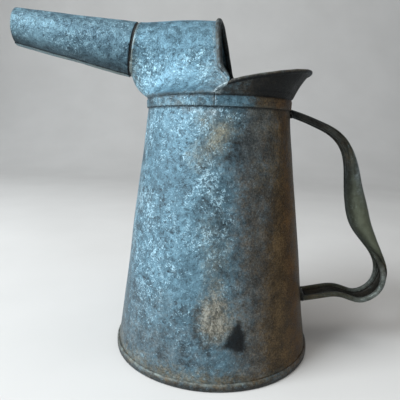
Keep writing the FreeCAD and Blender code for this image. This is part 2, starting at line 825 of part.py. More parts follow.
handle_upper_solder = blob(
    "handle_upper_solder",
    Vector(num("wall_neck_radius") + 0.5, 0, 135.9),
    Rotation(),
    (1.9, 9.6, 2.6),
    strap_raw,
    bars_tool,
    wall_block,
    lip_turned,
)
handle_lower_solder = blob(
    "handle_lower_solder",
    Vector(wall_radius(30.2).value + 0.2, 0, 30.2),
    Rotation(),
    (2.0, 9.8, 2.9),
    strap_raw,
    bars_tool,
    wall_block,
)


def joint_blob(side):
    """Middle of the solder that closes the corner between the arch's foot and the lip's end."""
    foot = keep[-1] if keep[-1].y * side > 0 else keep[0]
    end = lip_pts[-1] if side > 0 else lip_pts[0]
    return foot * 0.45 + end * 0.55 + Vector(-1.6, 0, -2.4)


joint_tools = [hood_bar_tool, lip_bar_tool, lip_turned, hood_drawn, collar_turned]
joint_near = blob("joint_near", joint_blob(-1), Rotation(), (5.2, 4.6, 3.6), *joint_tools)
joint_far = blob("joint_far", joint_blob(1), Rotation(), (5.2, 4.6, 3.6), *joint_tools)
hood_lip_solder = doc.addObject("Part::Compound", "hood_lip_solder")
hood_lip_solder.Links = [joint_near, joint_far]
doc.recompute()

# ================================================================ check and write
NODES = [
    body_shell,
    base_pan,
    base_solder,
    collar_solder,
    spout_hood,
    hood_edge_roll,
    hood_rim_wire,
    filler_lip,
    lip_edge_roll,
    lip_rim_wire,
    nozzle_sleeve,
    spout_cone,
    handle_strap,
    handle_edge_rolls,
    handle_edge_wires,
    handle_upper_solder,
    handle_lower_solder,
    hood_lip_solder,
]
doc.recompute()
for obj in doc.Objects:
    bad = [s for s in obj.State if s in ("Invalid", "Error")]
    if bad:
        raise RuntimeError("%s: %s" % (obj.Label, bad))
os.makedirs("parts", exist_ok=True)
for obj in NODES:
    shape = obj.Shape
    if shape.isNull() or not shape.isValid() or not shape.Solids:
        raise RuntimeError("bad shape: " + obj.Label)
    print(
        "%-20s solids %d  volume %9.1f  box %s"
        % (obj.Label, len(shape.Solids), shape.Volume, shape.BoundBox)
    )
for obj in NODES:
    obj.Shape.exportStep("parts/%s.step" % obj.Label)
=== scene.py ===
import math

import bmesh
import bpy
import numpy as np
from mathutils import Matrix, Vector


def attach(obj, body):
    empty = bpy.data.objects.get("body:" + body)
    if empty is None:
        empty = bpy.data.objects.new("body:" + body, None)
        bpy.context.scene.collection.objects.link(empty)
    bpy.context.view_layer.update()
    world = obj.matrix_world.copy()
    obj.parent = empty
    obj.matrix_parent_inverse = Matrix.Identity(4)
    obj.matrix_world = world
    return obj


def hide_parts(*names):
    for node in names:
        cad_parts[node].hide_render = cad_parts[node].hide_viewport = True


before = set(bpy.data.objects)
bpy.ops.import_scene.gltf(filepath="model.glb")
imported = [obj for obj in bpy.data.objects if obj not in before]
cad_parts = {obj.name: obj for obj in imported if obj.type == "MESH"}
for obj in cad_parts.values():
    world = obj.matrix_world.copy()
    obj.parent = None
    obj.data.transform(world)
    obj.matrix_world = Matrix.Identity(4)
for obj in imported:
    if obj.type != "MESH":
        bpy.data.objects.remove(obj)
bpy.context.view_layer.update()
scene = bpy.context.scene

MM = 0.001
TAU = 2.0 * math.pi


# ================================================================ small helpers
def rotz(p, deg):
    a = math.radians(deg)
    c, s = math.cos(a), math.sin(a)
    p = np.asarray(p, float)
    return np.stack([c * p[..., 0] - s * p[..., 1], s * p[..., 0] + c * p[..., 1], p[..., 2]], -1)


def smooth(a, b, x):
    t = np.clip((np.asarray(x, float) - a) / (b - a), 0.0, 1.0)
    return t * t * (3.0 - 2.0 * t)


def waves(p, length, seed, count=14):
    """Smooth unevenness about -1..1 from a fixed set of sine waves; length in mm."""
    rng = np.random.default_rng(seed)
    d = rng.normal(size=(count, 3))
    d /= np.linalg.norm(d, axis=1)[:, None]
    k = TAU / (length * rng.uniform(0.7, 1.5, count))
    ph = rng.uniform(0, TAU, count)
    p = np.asarray(p, float)
    return np.sin((p @ d.T) * k + ph).sum(-1) / math.sqrt(count)


def build(name, verts, faces, body, material, replaces=(), smooth_shade=True, attrs=None):
    """A mesh piece from points in mm, riding on a body."""
    me = bpy.data.meshes.new(name)
    me.from_pydata((np.asarray(verts, float) * MM).tolist(), [], [list(map(int, f)) for f in faces])
    me.validate(verbose=False)
    me.update()
    if smooth_shade:
        me.polygons.foreach_set("use_smooth", [True] * len(me.polygons))
    for key, values in (attrs or {}).items():
        a = me.attributes.new(key, "FLOAT", "POINT")
        a.data.foreach_set("value", np.asarray(values, np.float32))
    ob = bpy.data.objects.new(name, me)
    scene.collection.objects.link(ob)
    me.materials.append(material)
    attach(ob, body)
    if replaces:
        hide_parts(*replaces)
    return ob


def outward(ob):
    """Face normals to the outside."""
    bm = bmesh.new()
    bm.from_mesh(ob.data)
    bmesh.ops.recalc_face_normals(bm, faces=bm.faces)
    bm.to_mesh(ob.data)
    bm.free()
    return ob


def sharp(ob, degrees):
    """Shading breaks only at edges sharper than this."""
    me = ob.data
    bm = bmesh.new()
    bm.from_mesh(me)
    lim = math.radians(degrees)
    for e in bm.edges:
        e.smooth = not (len(e.link_faces) == 2 and e.calc_face_angle(0.0) > lim)
    bm.to_mesh(me)
    bm.free()
    return ob


def loft_faces(rows, cols, wrap_cols=False, wrap_rows=False):
    out = []
    for r in range(rows if wrap_rows else rows - 1):
        for c in range(cols if wrap_cols else cols - 1):
            a = r * cols + c
            b = r * cols + (c + 1) % cols
            d = ((r + 1) % rows) * cols + c
            e = ((r + 1) % rows) * cols + (c + 1) % cols
            out.append((a, b, e, d))
    return out


# ================================================================ node helpers
class Tree:
    """Short hand for building a material's nodes."""

    def __init__(self, name):
        self.mat = bpy.data.materials.new(name)
        self.mat.use_nodes = True
        self.t = self.mat.node_tree
        self.t.nodes.clear()
        self.out = self.t.nodes.new("ShaderNodeOutputMaterial")
        self.bsdf = self.t.nodes.new("ShaderNodeBsdfPrincipled")
        self.t.links.new(self.bsdf.outputs[0], self.out.inputs[0])
        self.co = self.t.nodes.new("ShaderNodeTexCoord").outputs["Object"]

    def link(self, a, b):
        self.t.links.new(a, b)

    def put(self, sock, v):
        if hasattr(v, "is_output"):
            self.link(v, sock)
        else:
            sock.default_value = v

    def math(self, op, a, b=None, c=None, clamp=False):
        n = self.t.nodes.new("ShaderNodeMath")
        n.operation, n.use_clamp = op, clamp
        for s, v in zip(n.inputs, (a, b, c)):
            if v is not None:
                self.put(s, v)
        return n.outputs[0]

    def mapped(self, scale=(1, 1, 1), loc=(0, 0, 0), src=None):
        n = self.t.nodes.new("ShaderNodeMapping")
        n.inputs["Scale"].default_value = scale
        n.inputs["Location"].default_value = loc
        self.link(src or self.co, n.inputs[0])
        return n.outputs[0]

    def noise(self, scale, detail=3.0, rough=0.55, src=None, warp=0.0, color=False):
        n = self.t.nodes.new("ShaderNodeTexNoise")
        n.inputs["Scale"].default_value = scale
        n.inputs["Detail"].default_value = detail
        n.inputs["Roughness"].default_value = rough
        n.inputs["Distortion"].default_value = warp
        self.link(src or self.co, n.inputs["Vector"])
        return n.outputs["Color" if color else "Fac"]

    def cells(self, scale, src=None, out="Color", feature="F1", random=1.0):
        n = self.t.nodes.new("ShaderNodeTexVoronoi")
        n.feature = feature
        n.inputs["Scale"].default_value = scale
        n.inputs["Randomness"].default_value = random
        self.link(src or self.co, n.inputs["Vector"])
        return n.outputs[out]

    def split(self, color):
        n = self.t.nodes.new("ShaderNodeSeparateColor")
        self.link(color, n.inputs[0])
        return n.outputs

    def ramp(self, v, *stops, ease="LINEAR"):
        n = self.t.nodes.new("ShaderNodeValToRGB")
        n.color_ramp.interpolation = ease
        el = n.color_ramp.elements
        while len(el) < len(stops):
            el.new(0.5)
        for e, (pos, col) in zip(el, stops):
            e.position = pos
            e.color = (*col, 1.0) if hasattr(col, "__len__") else (col, col, col, 1.0)
        self.link(v, n.inputs[0])
        return n.outputs[0]

    def step(self, v, a, b):
        """0 below a, 1 above b."""
        n = self.t.nodes.new("ShaderNodeMapRange")
        n.interpolation_type = "SMOOTHSTEP"
        for k, x in zip(("From Min", "From Max", "To Min", "To Max"), (a, b, 0.0, 1.0)):
            n.inputs[k].default_value = x
        self.link(v, n.inputs["Value"])
        return n.outputs["Result"]

    def span(self, v, a, b, c, d):
        n = self.t.nodes.new("ShaderNodeMapRange")
        for k, x in zip(("From Min", "From Max", "To Min", "To Max"), (a, b, c, d)):
            n.inputs[k].default_value = x
        self.link(v, n.inputs["Value"])
        return n.outputs["Result"]

    def mix(self, fac, a, b, mode="MIX"):
        n = self.t.nodes.new("ShaderNodeMix")
        n.data_type, n.blend_type = "RGBA", mode
        n.clamp_factor = True
        self.put(n.inputs["Factor"], fac)
        for k, v in (("A", a), ("B", b)):
            s = [i for i in n.inputs if i.name == k and i.type == "RGBA"][0]
            self.put(s, v if hasattr(v, "is_output") else (*v, 1.0))
        return [o for o in n.outputs if o.type == "RGBA"][0]

    def attr(self, name):
        n = self.t.nodes.new("ShaderNodeAttribute")
        n.attribute_name = name
        return n.outputs["Fac"]

    def warped(self, scale, amount, detail=3.0, src=None):
        """Coordinates pushed about by noise; amount in metres."""
        src = src or self.co
        v = self.t.nodes.new("ShaderNodeVectorMath")
        v.operation = "SUBTRACT"
        self.link(self.noise(scale, detail, color=True, src=src), v.inputs[0])
        v.inputs[1].default_value = (0.5, 0.5, 0.5)
        w = self.t.nodes.new("ShaderNodeVectorMath")
        w.operation = "MULTIPLY_ADD"
        self.link(v.outputs[0], w.inputs[0])
        w.inputs[1].default_value = (amount,) * 3
        self.link(src, w.inputs[2])
        return w.outputs[0]

    def bump(self, height, strength, distance, after=None):
        n = self.t.nodes.new("ShaderNodeBump")
        n.inputs["Strength"].default_value = strength
        n.inputs["Distance"].default_value = distance
        self.link(height, n.inputs["Height"])
        if after is not None:
            self.link(after, n.inputs["Normal"])
        return n.outputs[0]


def zinc(
    name,
    pit,
    dark,
    mid,
    light,
    fleck_color,
    fleck_amount=1.0,
    fleck_bias=0.0,
    grime=(0.040, 0.038, 0.030),
    metal=0.45,
    rough=(0.36, 0.62),
    painted=False,
    shift=(0, 0, 0),
    gloss=0.5,
    smears=0.30,
    tatter=1.0,
    sheen=(1.0, 1.0, 1.0),
):
    """Weathered galvanised sheet: cloudy zinc, crinkled pale oxide, small crystals, pits and grime."""
    t = Tree(name)
    base = t.mapped(loc=shift)
    w = t.warped(60.0, 0.006, 3.0, base)
    clouds = t.noise(30.0, 4.0, 0.6, w)
    blot = t.noise(130.0, 5.0, 0.66, w)
    crystal = t.split(t.cells(360.0, t.warped(280.0, 0.0024, 2.0, base)))[0]
    fine_w = t.warped(330.0, 0.0022, 2.0, base)
    grain = t.noise(1150.0, 3.0, 0.7, base)

    tone = t.math("ADD", t.math("MULTIPLY", clouds, 0.30), t.math("MULTIPLY", blot, 0.36))
    tone = t.math("ADD", tone, t.math("MULTIPLY", crystal, 0.11))
    tone = t.math("ADD", tone, t.math("MULTIPLY", grain, 0.36))
    color = t.ramp(tone, (0.41, pit), (0.495, dark), (0.575, mid), (0.68, light))

    # pale oxide: short winding strokes and small flecks, gathered in drifts
    drift = t.step(t.noise(44.0, 4.0, 0.62, w), 0.36, 0.64)
    if painted:
        # pale-fleck density from the attribute, lowered in places as painted shade
        drift = t.math("MULTIPLY", drift, t.attr("fleck"))
    n1 = t.noise(420.0, 2.0, 0.6, fine_w)
    ridge = t.math("SUBTRACT", 1.0, t.math("ABSOLUTE", t.math("MULTIPLY_ADD", n1, 2.0, -1.0)))
    strokes = t.step(t.math("MULTIPLY_ADD", drift, 0.05 * fleck_amount, ridge), 0.955, 1.03)
    broken = t.step(t.math("MULTIPLY_ADD", drift, 0.10 * fleck_amount, t.noise(260.0, 3.0, 0.6, base)), 0.50, 0.66)
    strokes = t.math("MULTIPLY", strokes, broken)
    fine = t.noise(800.0, 3.0, 0.68, fine_w)
    lift = t.math("MULTIPLY_ADD", drift, 0.10 * fleck_amount, fine)
    flecks = t.step(lift, 0.625 - fleck_bias, 0.735 - fleck_bias)
    large = t.noise(270.0, 3.0, 0.66, w)
    lift2 = t.math("MULTIPLY_ADD", drift, 0.10 * fleck_amount, large)
    blooms = t.math("MULTIPLY", t.step(lift2, 0.64 - fleck_bias, 0.80 - fleck_bias), 0.45)
    pale = t.math("MAXIMUM", t.math("MAXIMUM", t.math("MULTIPLY", flecks, 0.85), strokes), blooms)
    color = t.mix(t.math("MULTIPLY", pale, 0.92), color, fleck_color)

    # pits and dark specks
    pits = t.step(t.noise(520.0, 3.0, 0.6, fine_w), 0.41, 0.335)
    color = t.mix(t.math("MULTIPLY", pits, 0.58), color, pit)

    # grime in broad smears
    smear = t.step(t.noise(21.0, 5.0, 0.65, t.warped(34.0, 0.02, 3.0, base)), 0.50, 0.74)
    color = t.mix(t.math("MULTIPLY", smear, smears), color, grime)

    # painted layers: stains, wear and solder, and with them painted shade and painted highlights carried by the same
    # attributes
    if painted:
        ragged = t.math("MULTIPLY_ADD", t.noise(120.0, 4.0, 0.65, base), 0.9, -0.45)
        ragged_fine = t.math("MULTIPLY_ADD", t.noise(480.0, 4.0, 0.7, base), 1.0, -0.5)
        edge = t.math("MULTIPLY", t.math("ADD", ragged, ragged_fine), tatter)

        def layer(key, a, b, amount, col, under):
            m = t.step(t.math("ADD", t.attr(key), edge), a, b)
            gate = t.step(t.attr(key), 0.02, 0.16)
            return t.mix(t.math("MULTIPLY", t.math("MULTIPLY", m, gate), amount), under, col)

        vary = t.ramp(t.math("MULTIPLY_ADD", grain, 0.5, t.math("MULTIPLY", blot, 0.5)), (0.38, 0.34), (0.50, 0.92), (0.62, 1.95))
        # slate, brown and rust layers: patina and stains, and on the side away from the light also painted shade and a
        # painted reflection of dark surroundings
        slate = t.mix(1.0, (0.092, 0.098, 0.096), vary, "MULTIPLY")
        color = layer("slate", -0.10, 1.05, 0.88, slate, color)
        brown = t.mix(1.0, (0.082, 0.052, 0.021), vary, "MULTIPLY")
        color = layer("brown", -0.10, 1.05, 0.92, brown, color)
        tan = t.mix(1.0, (0.185, 0.150, 0.082), vary, "MULTIPLY")
        color = layer("tan", -0.20, 1.35, 0.72, tan, color)
        rust = t.mix(1.0, (0.082, 0.036, 0.009), vary, "MULTIPLY")
        color = layer("rust", -0.10, 1.3, 0.60, rust, color)
        streak = t.noise(60.0, 4.0, 0.7, t.mapped((7.0, 7.0, 3.4), shift))
        chalk = t.ramp(t.math("MULTIPLY_ADD", streak, 0.55, t.math("MULTIPLY", grain, 0.45)), (0.41, (0.075, 0.066, 0.046)), (0.50, (0.190, 0.170, 0.126)), (0.585, (0.40, 0.375, 0.305)))
        color = layer("chalk", -0.15, 1.25, 0.85, chalk, color)
        # near-black soot layer: real soot stains, and painted shade inside, underneath and between parts
        color = layer("soot", -0.10, 1.10, 0.93, (0.013, 0.014, 0.015), color)
        # solder layer; on the handle it carries painted highlights
        color = layer("solder", 0.0, 1.1, 0.72, t.mix(t.step(fine, 0.42, 0.64), (0.15, 0.19, 0.205), (0.44, 0.53, 0.56)), color)
        shine = t.mix(1.0, (0.142, 0.156, 0.108), t.ramp(blot, (0.35, 0.75), (0.65, 1.2)), "MULTIPLY")
        color = t.mix(t.math("MULTIPLY", t.attr("polish"), 0.85), color, shine)
        # painted shade: dark lines in creases, under the collar's edge and beside the spout's lap
        line = t.math("MULTIPLY", t.attr("line"), t.span(blot, 0.3, 0.7, 0.6, 1.0))
        color = t.mix(line, color, (0.012, 0.011, 0.010))
        # pale worn places; on rolled edges partly painted highlight
        wear = t.math("MULTIPLY", t.attr("wear"), t.step(t.noise(230.0, 4.0, 0.68, base), 0.36, 0.64))
        color = t.mix(t.math("MULTIPLY", wear, 0.8), color, (0.20, 0.225, 0.205))
        # inside faces and shaded undersides painted near black: painted shade
        inner = t.attr("inner")
        color = t.mix(t.math("MULTIPLY", inner, 0.93), color, (0.012, 0.012, 0.012))

    t.link(color, t.bsdf.inputs["Base Color"])
    r = t.math("ADD", t.span(blot, 0.3, 0.7, rough[0], rough[1]), t.math("MULTIPLY", pale, 0.04))
    t.link(r, t.bsdf.inputs["Roughness"])
    if painted:
        dull = t.math("MAXIMUM", t.attr("inner"), t.math("MULTIPLY", t.attr("brown"), 0.55))
        m = t.math("MULTIPLY", t.math("SUBTRACT", 1.0, dull, clamp=True), t.span(pale, 0.0, 1.0, metal, metal * 0.4))
        t.link(m, t.bsdf.inputs["Metallic"])
        # soiled places and places with painted shade hardly shine
        matt = t.math("MAXIMUM", t.attr("inner"), t.math("MULTIPLY", t.math("MAXIMUM", t.attr("brown"), t.attr("soot")), 0.75))
        t.link(t.span(matt, 0.0, 1.0, gloss, gloss * 0.08), t.bsdf.inputs["Specular IOR Level"])
    else:
        t.link(t.span(pale, 0.0, 1.0, metal, metal * 0.4), t.bsdf.inputs["Metallic"])
    h = t.math("ADD", t.math("MULTIPLY", blot, 0.6), t.math("MULTIPLY", grain, 0.55))
    h = t.math("ADD", h, t.math("MULTIPLY", pale, 0.30))
    h = t.math("ADD", h, t.math("MULTIPLY", ridge, 0.35))
    h = t.math("SUBTRACT", h, t.math("MULTIPLY", pits, 0.40))
    t.link(t.bump(h, 0.75, 0.0006), t.bsdf.inputs["Normal"])
    t.bsdf.inputs["Specular Tint"].default_value = (*sheen, 1.0)
    t.bsdf.inputs["Specular IOR Level"].default_value = gloss
    return t.mat


WALL = zinc(
    "galvanised_wall",
    pit=(0.024, 0.036, 0.044),
    dark=(0.053, 0.098, 0.126),
    mid=(0.083, 0.157, 0.202),
    light=(0.132, 0.244, 0.308),
    fleck_color=(0.41, 0.635, 0.755),
    sheen=(0.72, 0.88, 1.0),
    painted=True,
)
TOP = zinc(
    "galvanised_top",
    pit=(0.024, 0.048, 0.066),
    dark=(0.060, 0.122, 0.160),
    mid=(0.112, 0.212, 0.275),
    light=(0.172, 0.325, 0.415),
    fleck_color=(0.44, 0.71, 0.84),
    grime=(0.034, 0.050, 0.060),
    smears=0.24,
    sheen=(0.66, 0.86, 1.0),
    painted=True,
    shift=(0.31, 0.07, 0.15),
)
SPOUT = zinc(
    "spout_sheet",
    pit=(0.026, 0.050, 0.066),
    dark=(0.060, 0.112, 0.146),
    mid=(0.111, 0.196, 0.243),
    light=(0.172, 0.298, 0.362),
    fleck_color=(0.37, 0.57, 0.67),
    fleck_amount=0.8,
    grime=(0.034, 0.050, 0.060),
    smears=0.10,
    tatter=0.4,
    sheen=(0.62, 0.84, 1.0),
    painted=True,
    shift=(0.83, 0.41, 0.29),
)
HANDLE = zinc(
    "handle_sheet",
    pit=(0.009, 0.009, 0.007),
    dark=(0.016, 0.017, 0.015),
    mid=(0.028, 0.031, 0.028),
    light=(0.050, 0.057, 0.053),
    fleck_color=(0.20, 0.27, 0.29),
    fleck_amount=0.45,
    fleck_bias=-0.03,
    metal=0.5,
    rough=(0.34, 0.52),
    gloss=0.22,
    sheen=(0.78, 0.92, 1.0),
    painted=True,
    shift=(1.7, 0.9, 0.63),
)
SOLDER = zinc(
    "solder",
    pit=(0.04, 0.05, 0.055),
    dark=(0.085, 0.115, 0.130),
    mid=(0.150, 0.205, 0.230),
    light=(0.240, 0.320, 0.350),
    fleck_color=(0.48, 0.60, 0.64),
    fleck_bias=0.01,
    metal=0.5,
    shift=(2.9, 1.3, 0.2),
)
WIRE = zinc(
    "steel_wire",
    pit=(0.03, 0.03, 0.03),
    dark=(0.07, 0.07, 0.068),
    mid=(0.14, 0.14, 0.135),
    light=(0.24, 0.24, 0.23),
    fleck_color=(0.35, 0.34, 0.32),
    fleck_amount=0.3,
    metal=0.8,
    shift=(3.7, 2.3, 1.2),
)

KEYS = ("fleck", "slate", "brown", "tan", "rust", "chalk", "soot", "solder", "line", "wear", "inner", "polish")


def blank(count):
    a = {k: np.zeros(count) for k in KEYS}
    a["fleck"][:] = 1.0
    return a


def spot(az, z, az0, z0, ra, rz, turn=0.0, soft=1.0):
    """Soft patch on a round wall: centre, radii in degrees and mm, turned by an angle."""
    d = (az - az0 + 180.0) % 360.0 - 180.0
    x, y = d * 0.85, z - z0
    c, s = math.cos(math.radians(turn)), math.sin(math.radians(turn))
    u, v = (c * x + s * y) / (ra * 0.85), (-s * x + c * y) / rz
    return np.exp(-((u * u + v * v) ** soft))


def patch(az, z, corners, soft):
    """1 inside an outline given in degrees and mm on a round wall, falling to 0 over a soft border in mm."""
    k = 0.85
    px, py = az * k, z
    q = np.array(corners, float) * np.array([k, 1.0])
    best = np.full(az.shape, 1e9)
    inside = np.zeros(az.shape, bool)
    for (x0, y0), (x1, y1) in zip(q, np.roll(q, -1, axis=0)):
        dx, dy = x1 - x0, y1 - y0
        t = np.clip(((px - x0) * dx + (py - y0) * dy) / (dx * dx + dy * dy), 0, 1)
        best = np.minimum(best, np.hypot(px - x0 - t * dx, py - y0 - t * dy))
        if y0 != y1:
            cross = ((y0 > py) != (y1 > py)) & (px < (x1 - x0) * (py - y0) / (y1 - y0) + x0)
            inside ^= cross
    d = np.where(inside, best, -best)
    return smooth(-soft, soft, d)


# ================================================================ body
WALL_FOOT, WALL_NECK, LEVEL_FOOT, LEVEL_NECK, WALL_TOP = 56.45, 39.5, 0.75, 136.8, 141.6
TAPER = (WALL_FOOT - WALL_NECK) / (LEVEL_NECK - LEVEL_FOOT)


def wall_radius(z):
    return np.where(z < LEVEL_NECK, WALL_FOOT - TAPER * (z - LEVEL_FOOT), WALL_NECK)


# stains on the front, outlines in degrees round the can and mm above the foot
CHALK_EDGE = [(-89.3, 54.3), (-84.3, 54.5), (-81.3, 47.7), (-77.9, 41.9), (-74.5, 34.7), (-76.6, 28.0),
              (-80.8, 23.1), (-91.2, 22.8), (-93.5, 27.6), (-94.9, 34.4), (-94.7, 41.4), (-92.3, 47.4)]
CHALK_CORE = [(-91.3, 43.6), (-83.7, 44.8), (-80.3, 38.0), (-81.1, 29.2), (-89.5, 26.6), (-92.9, 32.7)]
SOOT_RIGHT = [(-73.4, 34.1), (-70.0, 27.1), (-69.6, 23.4), (-69.3, 20.6), (-70.6, 19.0), (-75.4, 19.8),
              (-81.3, 22.2), (-78.4, 26.7)]
SOOT_LEFT = [(-94.9, 40.9), (-96.4, 36.8), (-96.9, 32.3), (-95.3, 28.1), (-92.3, 24.4), (-90.3, 22.1),
             (-93.0, 22.9), (-95.8, 27.0), (-98.3, 32.2), (-97.5, 38.2)]
TAN_EDGE = [(-90.8, 129.3), (-78.7, 130.5), (-76.6, 125.9), (-81.2, 121.6), (-86.8, 115.8), (-94.4, 112.8),
            (-99.5, 110.3), (-103.7, 113.0), (-97.4, 117.9), (-93.8, 123.6)]
TAN_CORE = [(-89.4, 127.5), (-79.4, 129.1), (-77.9, 125.8), (-83.2, 122.5), (-88.9, 118.1), (-94.7, 117.1),
            (-91.8, 122.8)]
SMEAR_HIGH = [(-73.1, 125.5), (-63.0, 122.8), (-64.6, 114.2), (-72.3, 110.9), (-80.9, 110.3), (-85.4, 113.1),
              (-79.8, 117.8), (-75.8, 121.7)]
SPOT_HIGH = [(-79.2, 122.1), (-75.9, 122.6), (-73.1, 120.3), (-75.1, 117.9), (-78.5, 118.3)]
SPOT_LOW = [(-84.9, 115.4), (-78.4, 116.5), (-74.4, 113.7), (-77.0, 110.8), (-83.5, 111.2)]


def make_body():
    az = np.concatenate([np.linspace(-180, 180, 361)[:-1], [86.95, 87.2, 87.35, 92.65, 92.8, 93.05]])
    az = np.unique(np.round(az, 3))
    z = np.concatenate([[LEVEL_FOOT], np.linspace(2.0, LEVEL_NECK, 118), [138.5, 140.2, WALL_TOP]])
    A, Z = np.meshgrid(az, z)
    R0 = wall_radius(Z)
    P = np.stack([R0 * np.cos(np.radians(A)), R0 * np.sin(np.radians(A)), Z], -1)
    mid = smooth(3, 26, Z) * smooth(136.5, 118, Z)
    dent = 0.26 * waves(P, 62, 11) + 0.10 * waves(P, 24, 12)
    # a few shallow knocks
    for az0, z0, ra, rz, depth in (
        (-62, 34, 10, 11, 0.55),
        (-128, 62, 8, 13, 0.45),
        (-80, 24, 11, 7, 0.35),
        (20, 88, 12, 14, 0.55),
        (140, 40, 12, 12, 0.6),
        (60, 52, 9, 10, 0.5),
        (172, 104, 9, 12, 0.5),
    ):
        dent = dent - depth * spot(A, Z, az0, z0, ra, rz)
    R = R0 + dent * mid
    # folded side seam at the back
    arc = np.abs((A - 90.0) * np.pi / 180.0 * R0)
    lift = smooth(2.75, 2.45, arc) * smooth(7.0, 8.5, Z) * smooth(134.6, 133.4, Z)
    R = R + 0.62 * lift
    outer = np.stack([R * np.cos(np.radians(A)), R * np.sin(np.radians(A)), Z], -1)
    Ri = R - 0.6 - 0.6 * lift
    inner = np.stack([Ri * np.cos(np.radians(A)), Ri * np.sin(np.radians(A)), Z], -1)
    rows, cols = A.shape
    n = rows * cols
    f = loft_faces(rows, cols, wrap_cols=True)
    g = [(a + n, d + n, c + n, b + n) for a, b, c, d in f]
    rim = []
    for c in range(cols):
        d = (c + 1) % cols
        top = (rows - 1) * cols
        rim.append((top + c, top + d, top + d + n, top + c + n))
        rim.append((d, c, c + n, d + n))
    a = blank(2 * n)
    z_, az_ = Z.ravel(), A.ravel()
    o = slice(0, n)
    # pale flecks: dense on the spout side and the front, hardly any towards the handle
    edge_az = np.interp(z_, [42, 50, 64, 88, 98, 105, 112, 121, 129, 135], [-92, -86, -80, -81, -82, -91, -93, -88, -81, -70])
    front = az_ < 60
    into = np.where(front, edge_az - az_, 0.0)
    left = np.where(front, smooth(-24, 9, into), smooth(60, 150, az_))
    a["fleck"][o] = np.clip(0.06 + 1.0 * left, 0, 1) * (0.45 + 0.55 * smooth(14, 40, z_))
    a["fleck"][o] *= 1 - 0.32 * front * smooth(-104, -122, az_) * smooth(78, 52, z_)
    round_front = np.abs(az_)
    # dark slate over the handle side: partly patina, partly painted shade on the side away from the light
    a["slate"][o] = np.clip(0.34 * smooth(4, -22, into) * front + 0.75 * smooth(88, 60, round_front), 0, 1.15)
    a["slate"][o] *= smooth(124, 100, round_front) * (1 - 0.5 * smooth(118, 130, z_) * smooth(62, 80, round_front))
    # duller towards the foot and on the side turned away
    a["slate"][o] = np.maximum(a["slate"][o], 0.54 * smooth(60, 14, z_) * (1 - 0.35 * front * smooth(-116, -100, az_)) + 0.30 * smooth(138, 160, round_front))
    # brown over the handle side: partly brown stain, partly painted shade and a painted reflection of dark surroundings
    # on the side away from the light; a brown band at the foot
    warm = np.interp(z_, [10, 60, 100, 136], [12.0, 8.0, 1.0, 0.0])
    a["brown"][o] = 0.80 * smooth(58 + warm, 34 + warm, round_front) + 0.36 * smooth(84, 62, round_front) * smooth(122, 96, z_)
    a["brown"][o] = np.maximum(a["brown"][o], (0.16 + 0.42 * smooth(100, 66, round_front)) * smooth(12.0, 4.5, z_))
    a["brown"][o] *= 1 - 0.42 * smooth(34, 10, round_front)
    a["tan"][o] = (
        0.80 * patch(az_, z_, TAN_EDGE, 9.5)
        + 0.42 * patch(az_, z_, TAN_CORE, 6.5)
        + 0.55 * spot(az_, z_, -99, 131, 5, 3)
        + 0.50 * spot(az_, z_, -86, 62, 6, 14)
        + 0.4 * spot(az_, z_, 160, 118, 14, 10)
        + 0.26 * smooth(74, 54, round_front) * smooth(84, 110, z_)
        + 0.16 * spot(az_, z_, -90, 84, 10, 26)
        + 0.46 * smooth(15.0, 4.5, z_) * smooth(60, 84, round_front)
    )
    # a rust spot high up; rust-brown along the handle side's edge, partly rust, partly painted shade and a painted
    # reflection of dark surroundings; a little at the foot
    a["rust"][o] = (
        0.45 * spot(az_, z_, -55, 117, 5, 9)
        + 0.95 * smooth(-50, -26, -round_front) * (1 - 0.75 * smooth(32, 10, round_front))
        + 0.14 * smooth(7.5, 4.4, z_)
    )
    a["chalk"][o] = 0.52 * patch(az_, z_, CHALK_EDGE, 6.0) + 0.85 * patch(az_, z_, CHALK_CORE, 6.0)
    a["chalk"][o] += 0.5 * spot(az_, z_, 118, 70, 10, 16)
    a["soot"][o] = (
        1.40 * patch(az_, z_, SOOT_RIGHT, 2.3)
        + 0.92 * patch(az_, z_, SOOT_LEFT, 3.6)
        + 0.52 * patch(az_, z_, SPOT_HIGH, 3.4)
        + 0.48 * patch(az_, z_, SPOT_LOW, 4.2)
        + 0.42 * patch(az_, z_, SMEAR_HIGH, 8.5)
        + 0.5 * spot(az_, z_, 100, 30, 9, 12)
    )
    # painted shadow: dark line on the wall just under the collar's lower edge
    a["line"][o] = 0.85 * smooth(135.4, 137.2, z_)
    a["wear"][o] = 0.5 * lift.ravel() + 0.45 * smooth(6.2, 4.6, z_) * smooth(3.4, 4.2, z_)
    a["solder"][o] = 0.9 * spot(az_, z_, -92, 134.6, 6, 2.6) + 0.6 * spot(az_, z_, -108, 135.4, 8, 1.6)
    # inside of the wall painted near black: painted shade
    a["inner"][n:] = 1.0
    verts = np.concatenate([outer.reshape(-1, 3), inner.reshape(-1, 3)])
    ob = build("body_wall", verts, f + g + rim, "can", WALL, ("body_shell",), attrs=a)
    return sharp(outward(ob), 40)


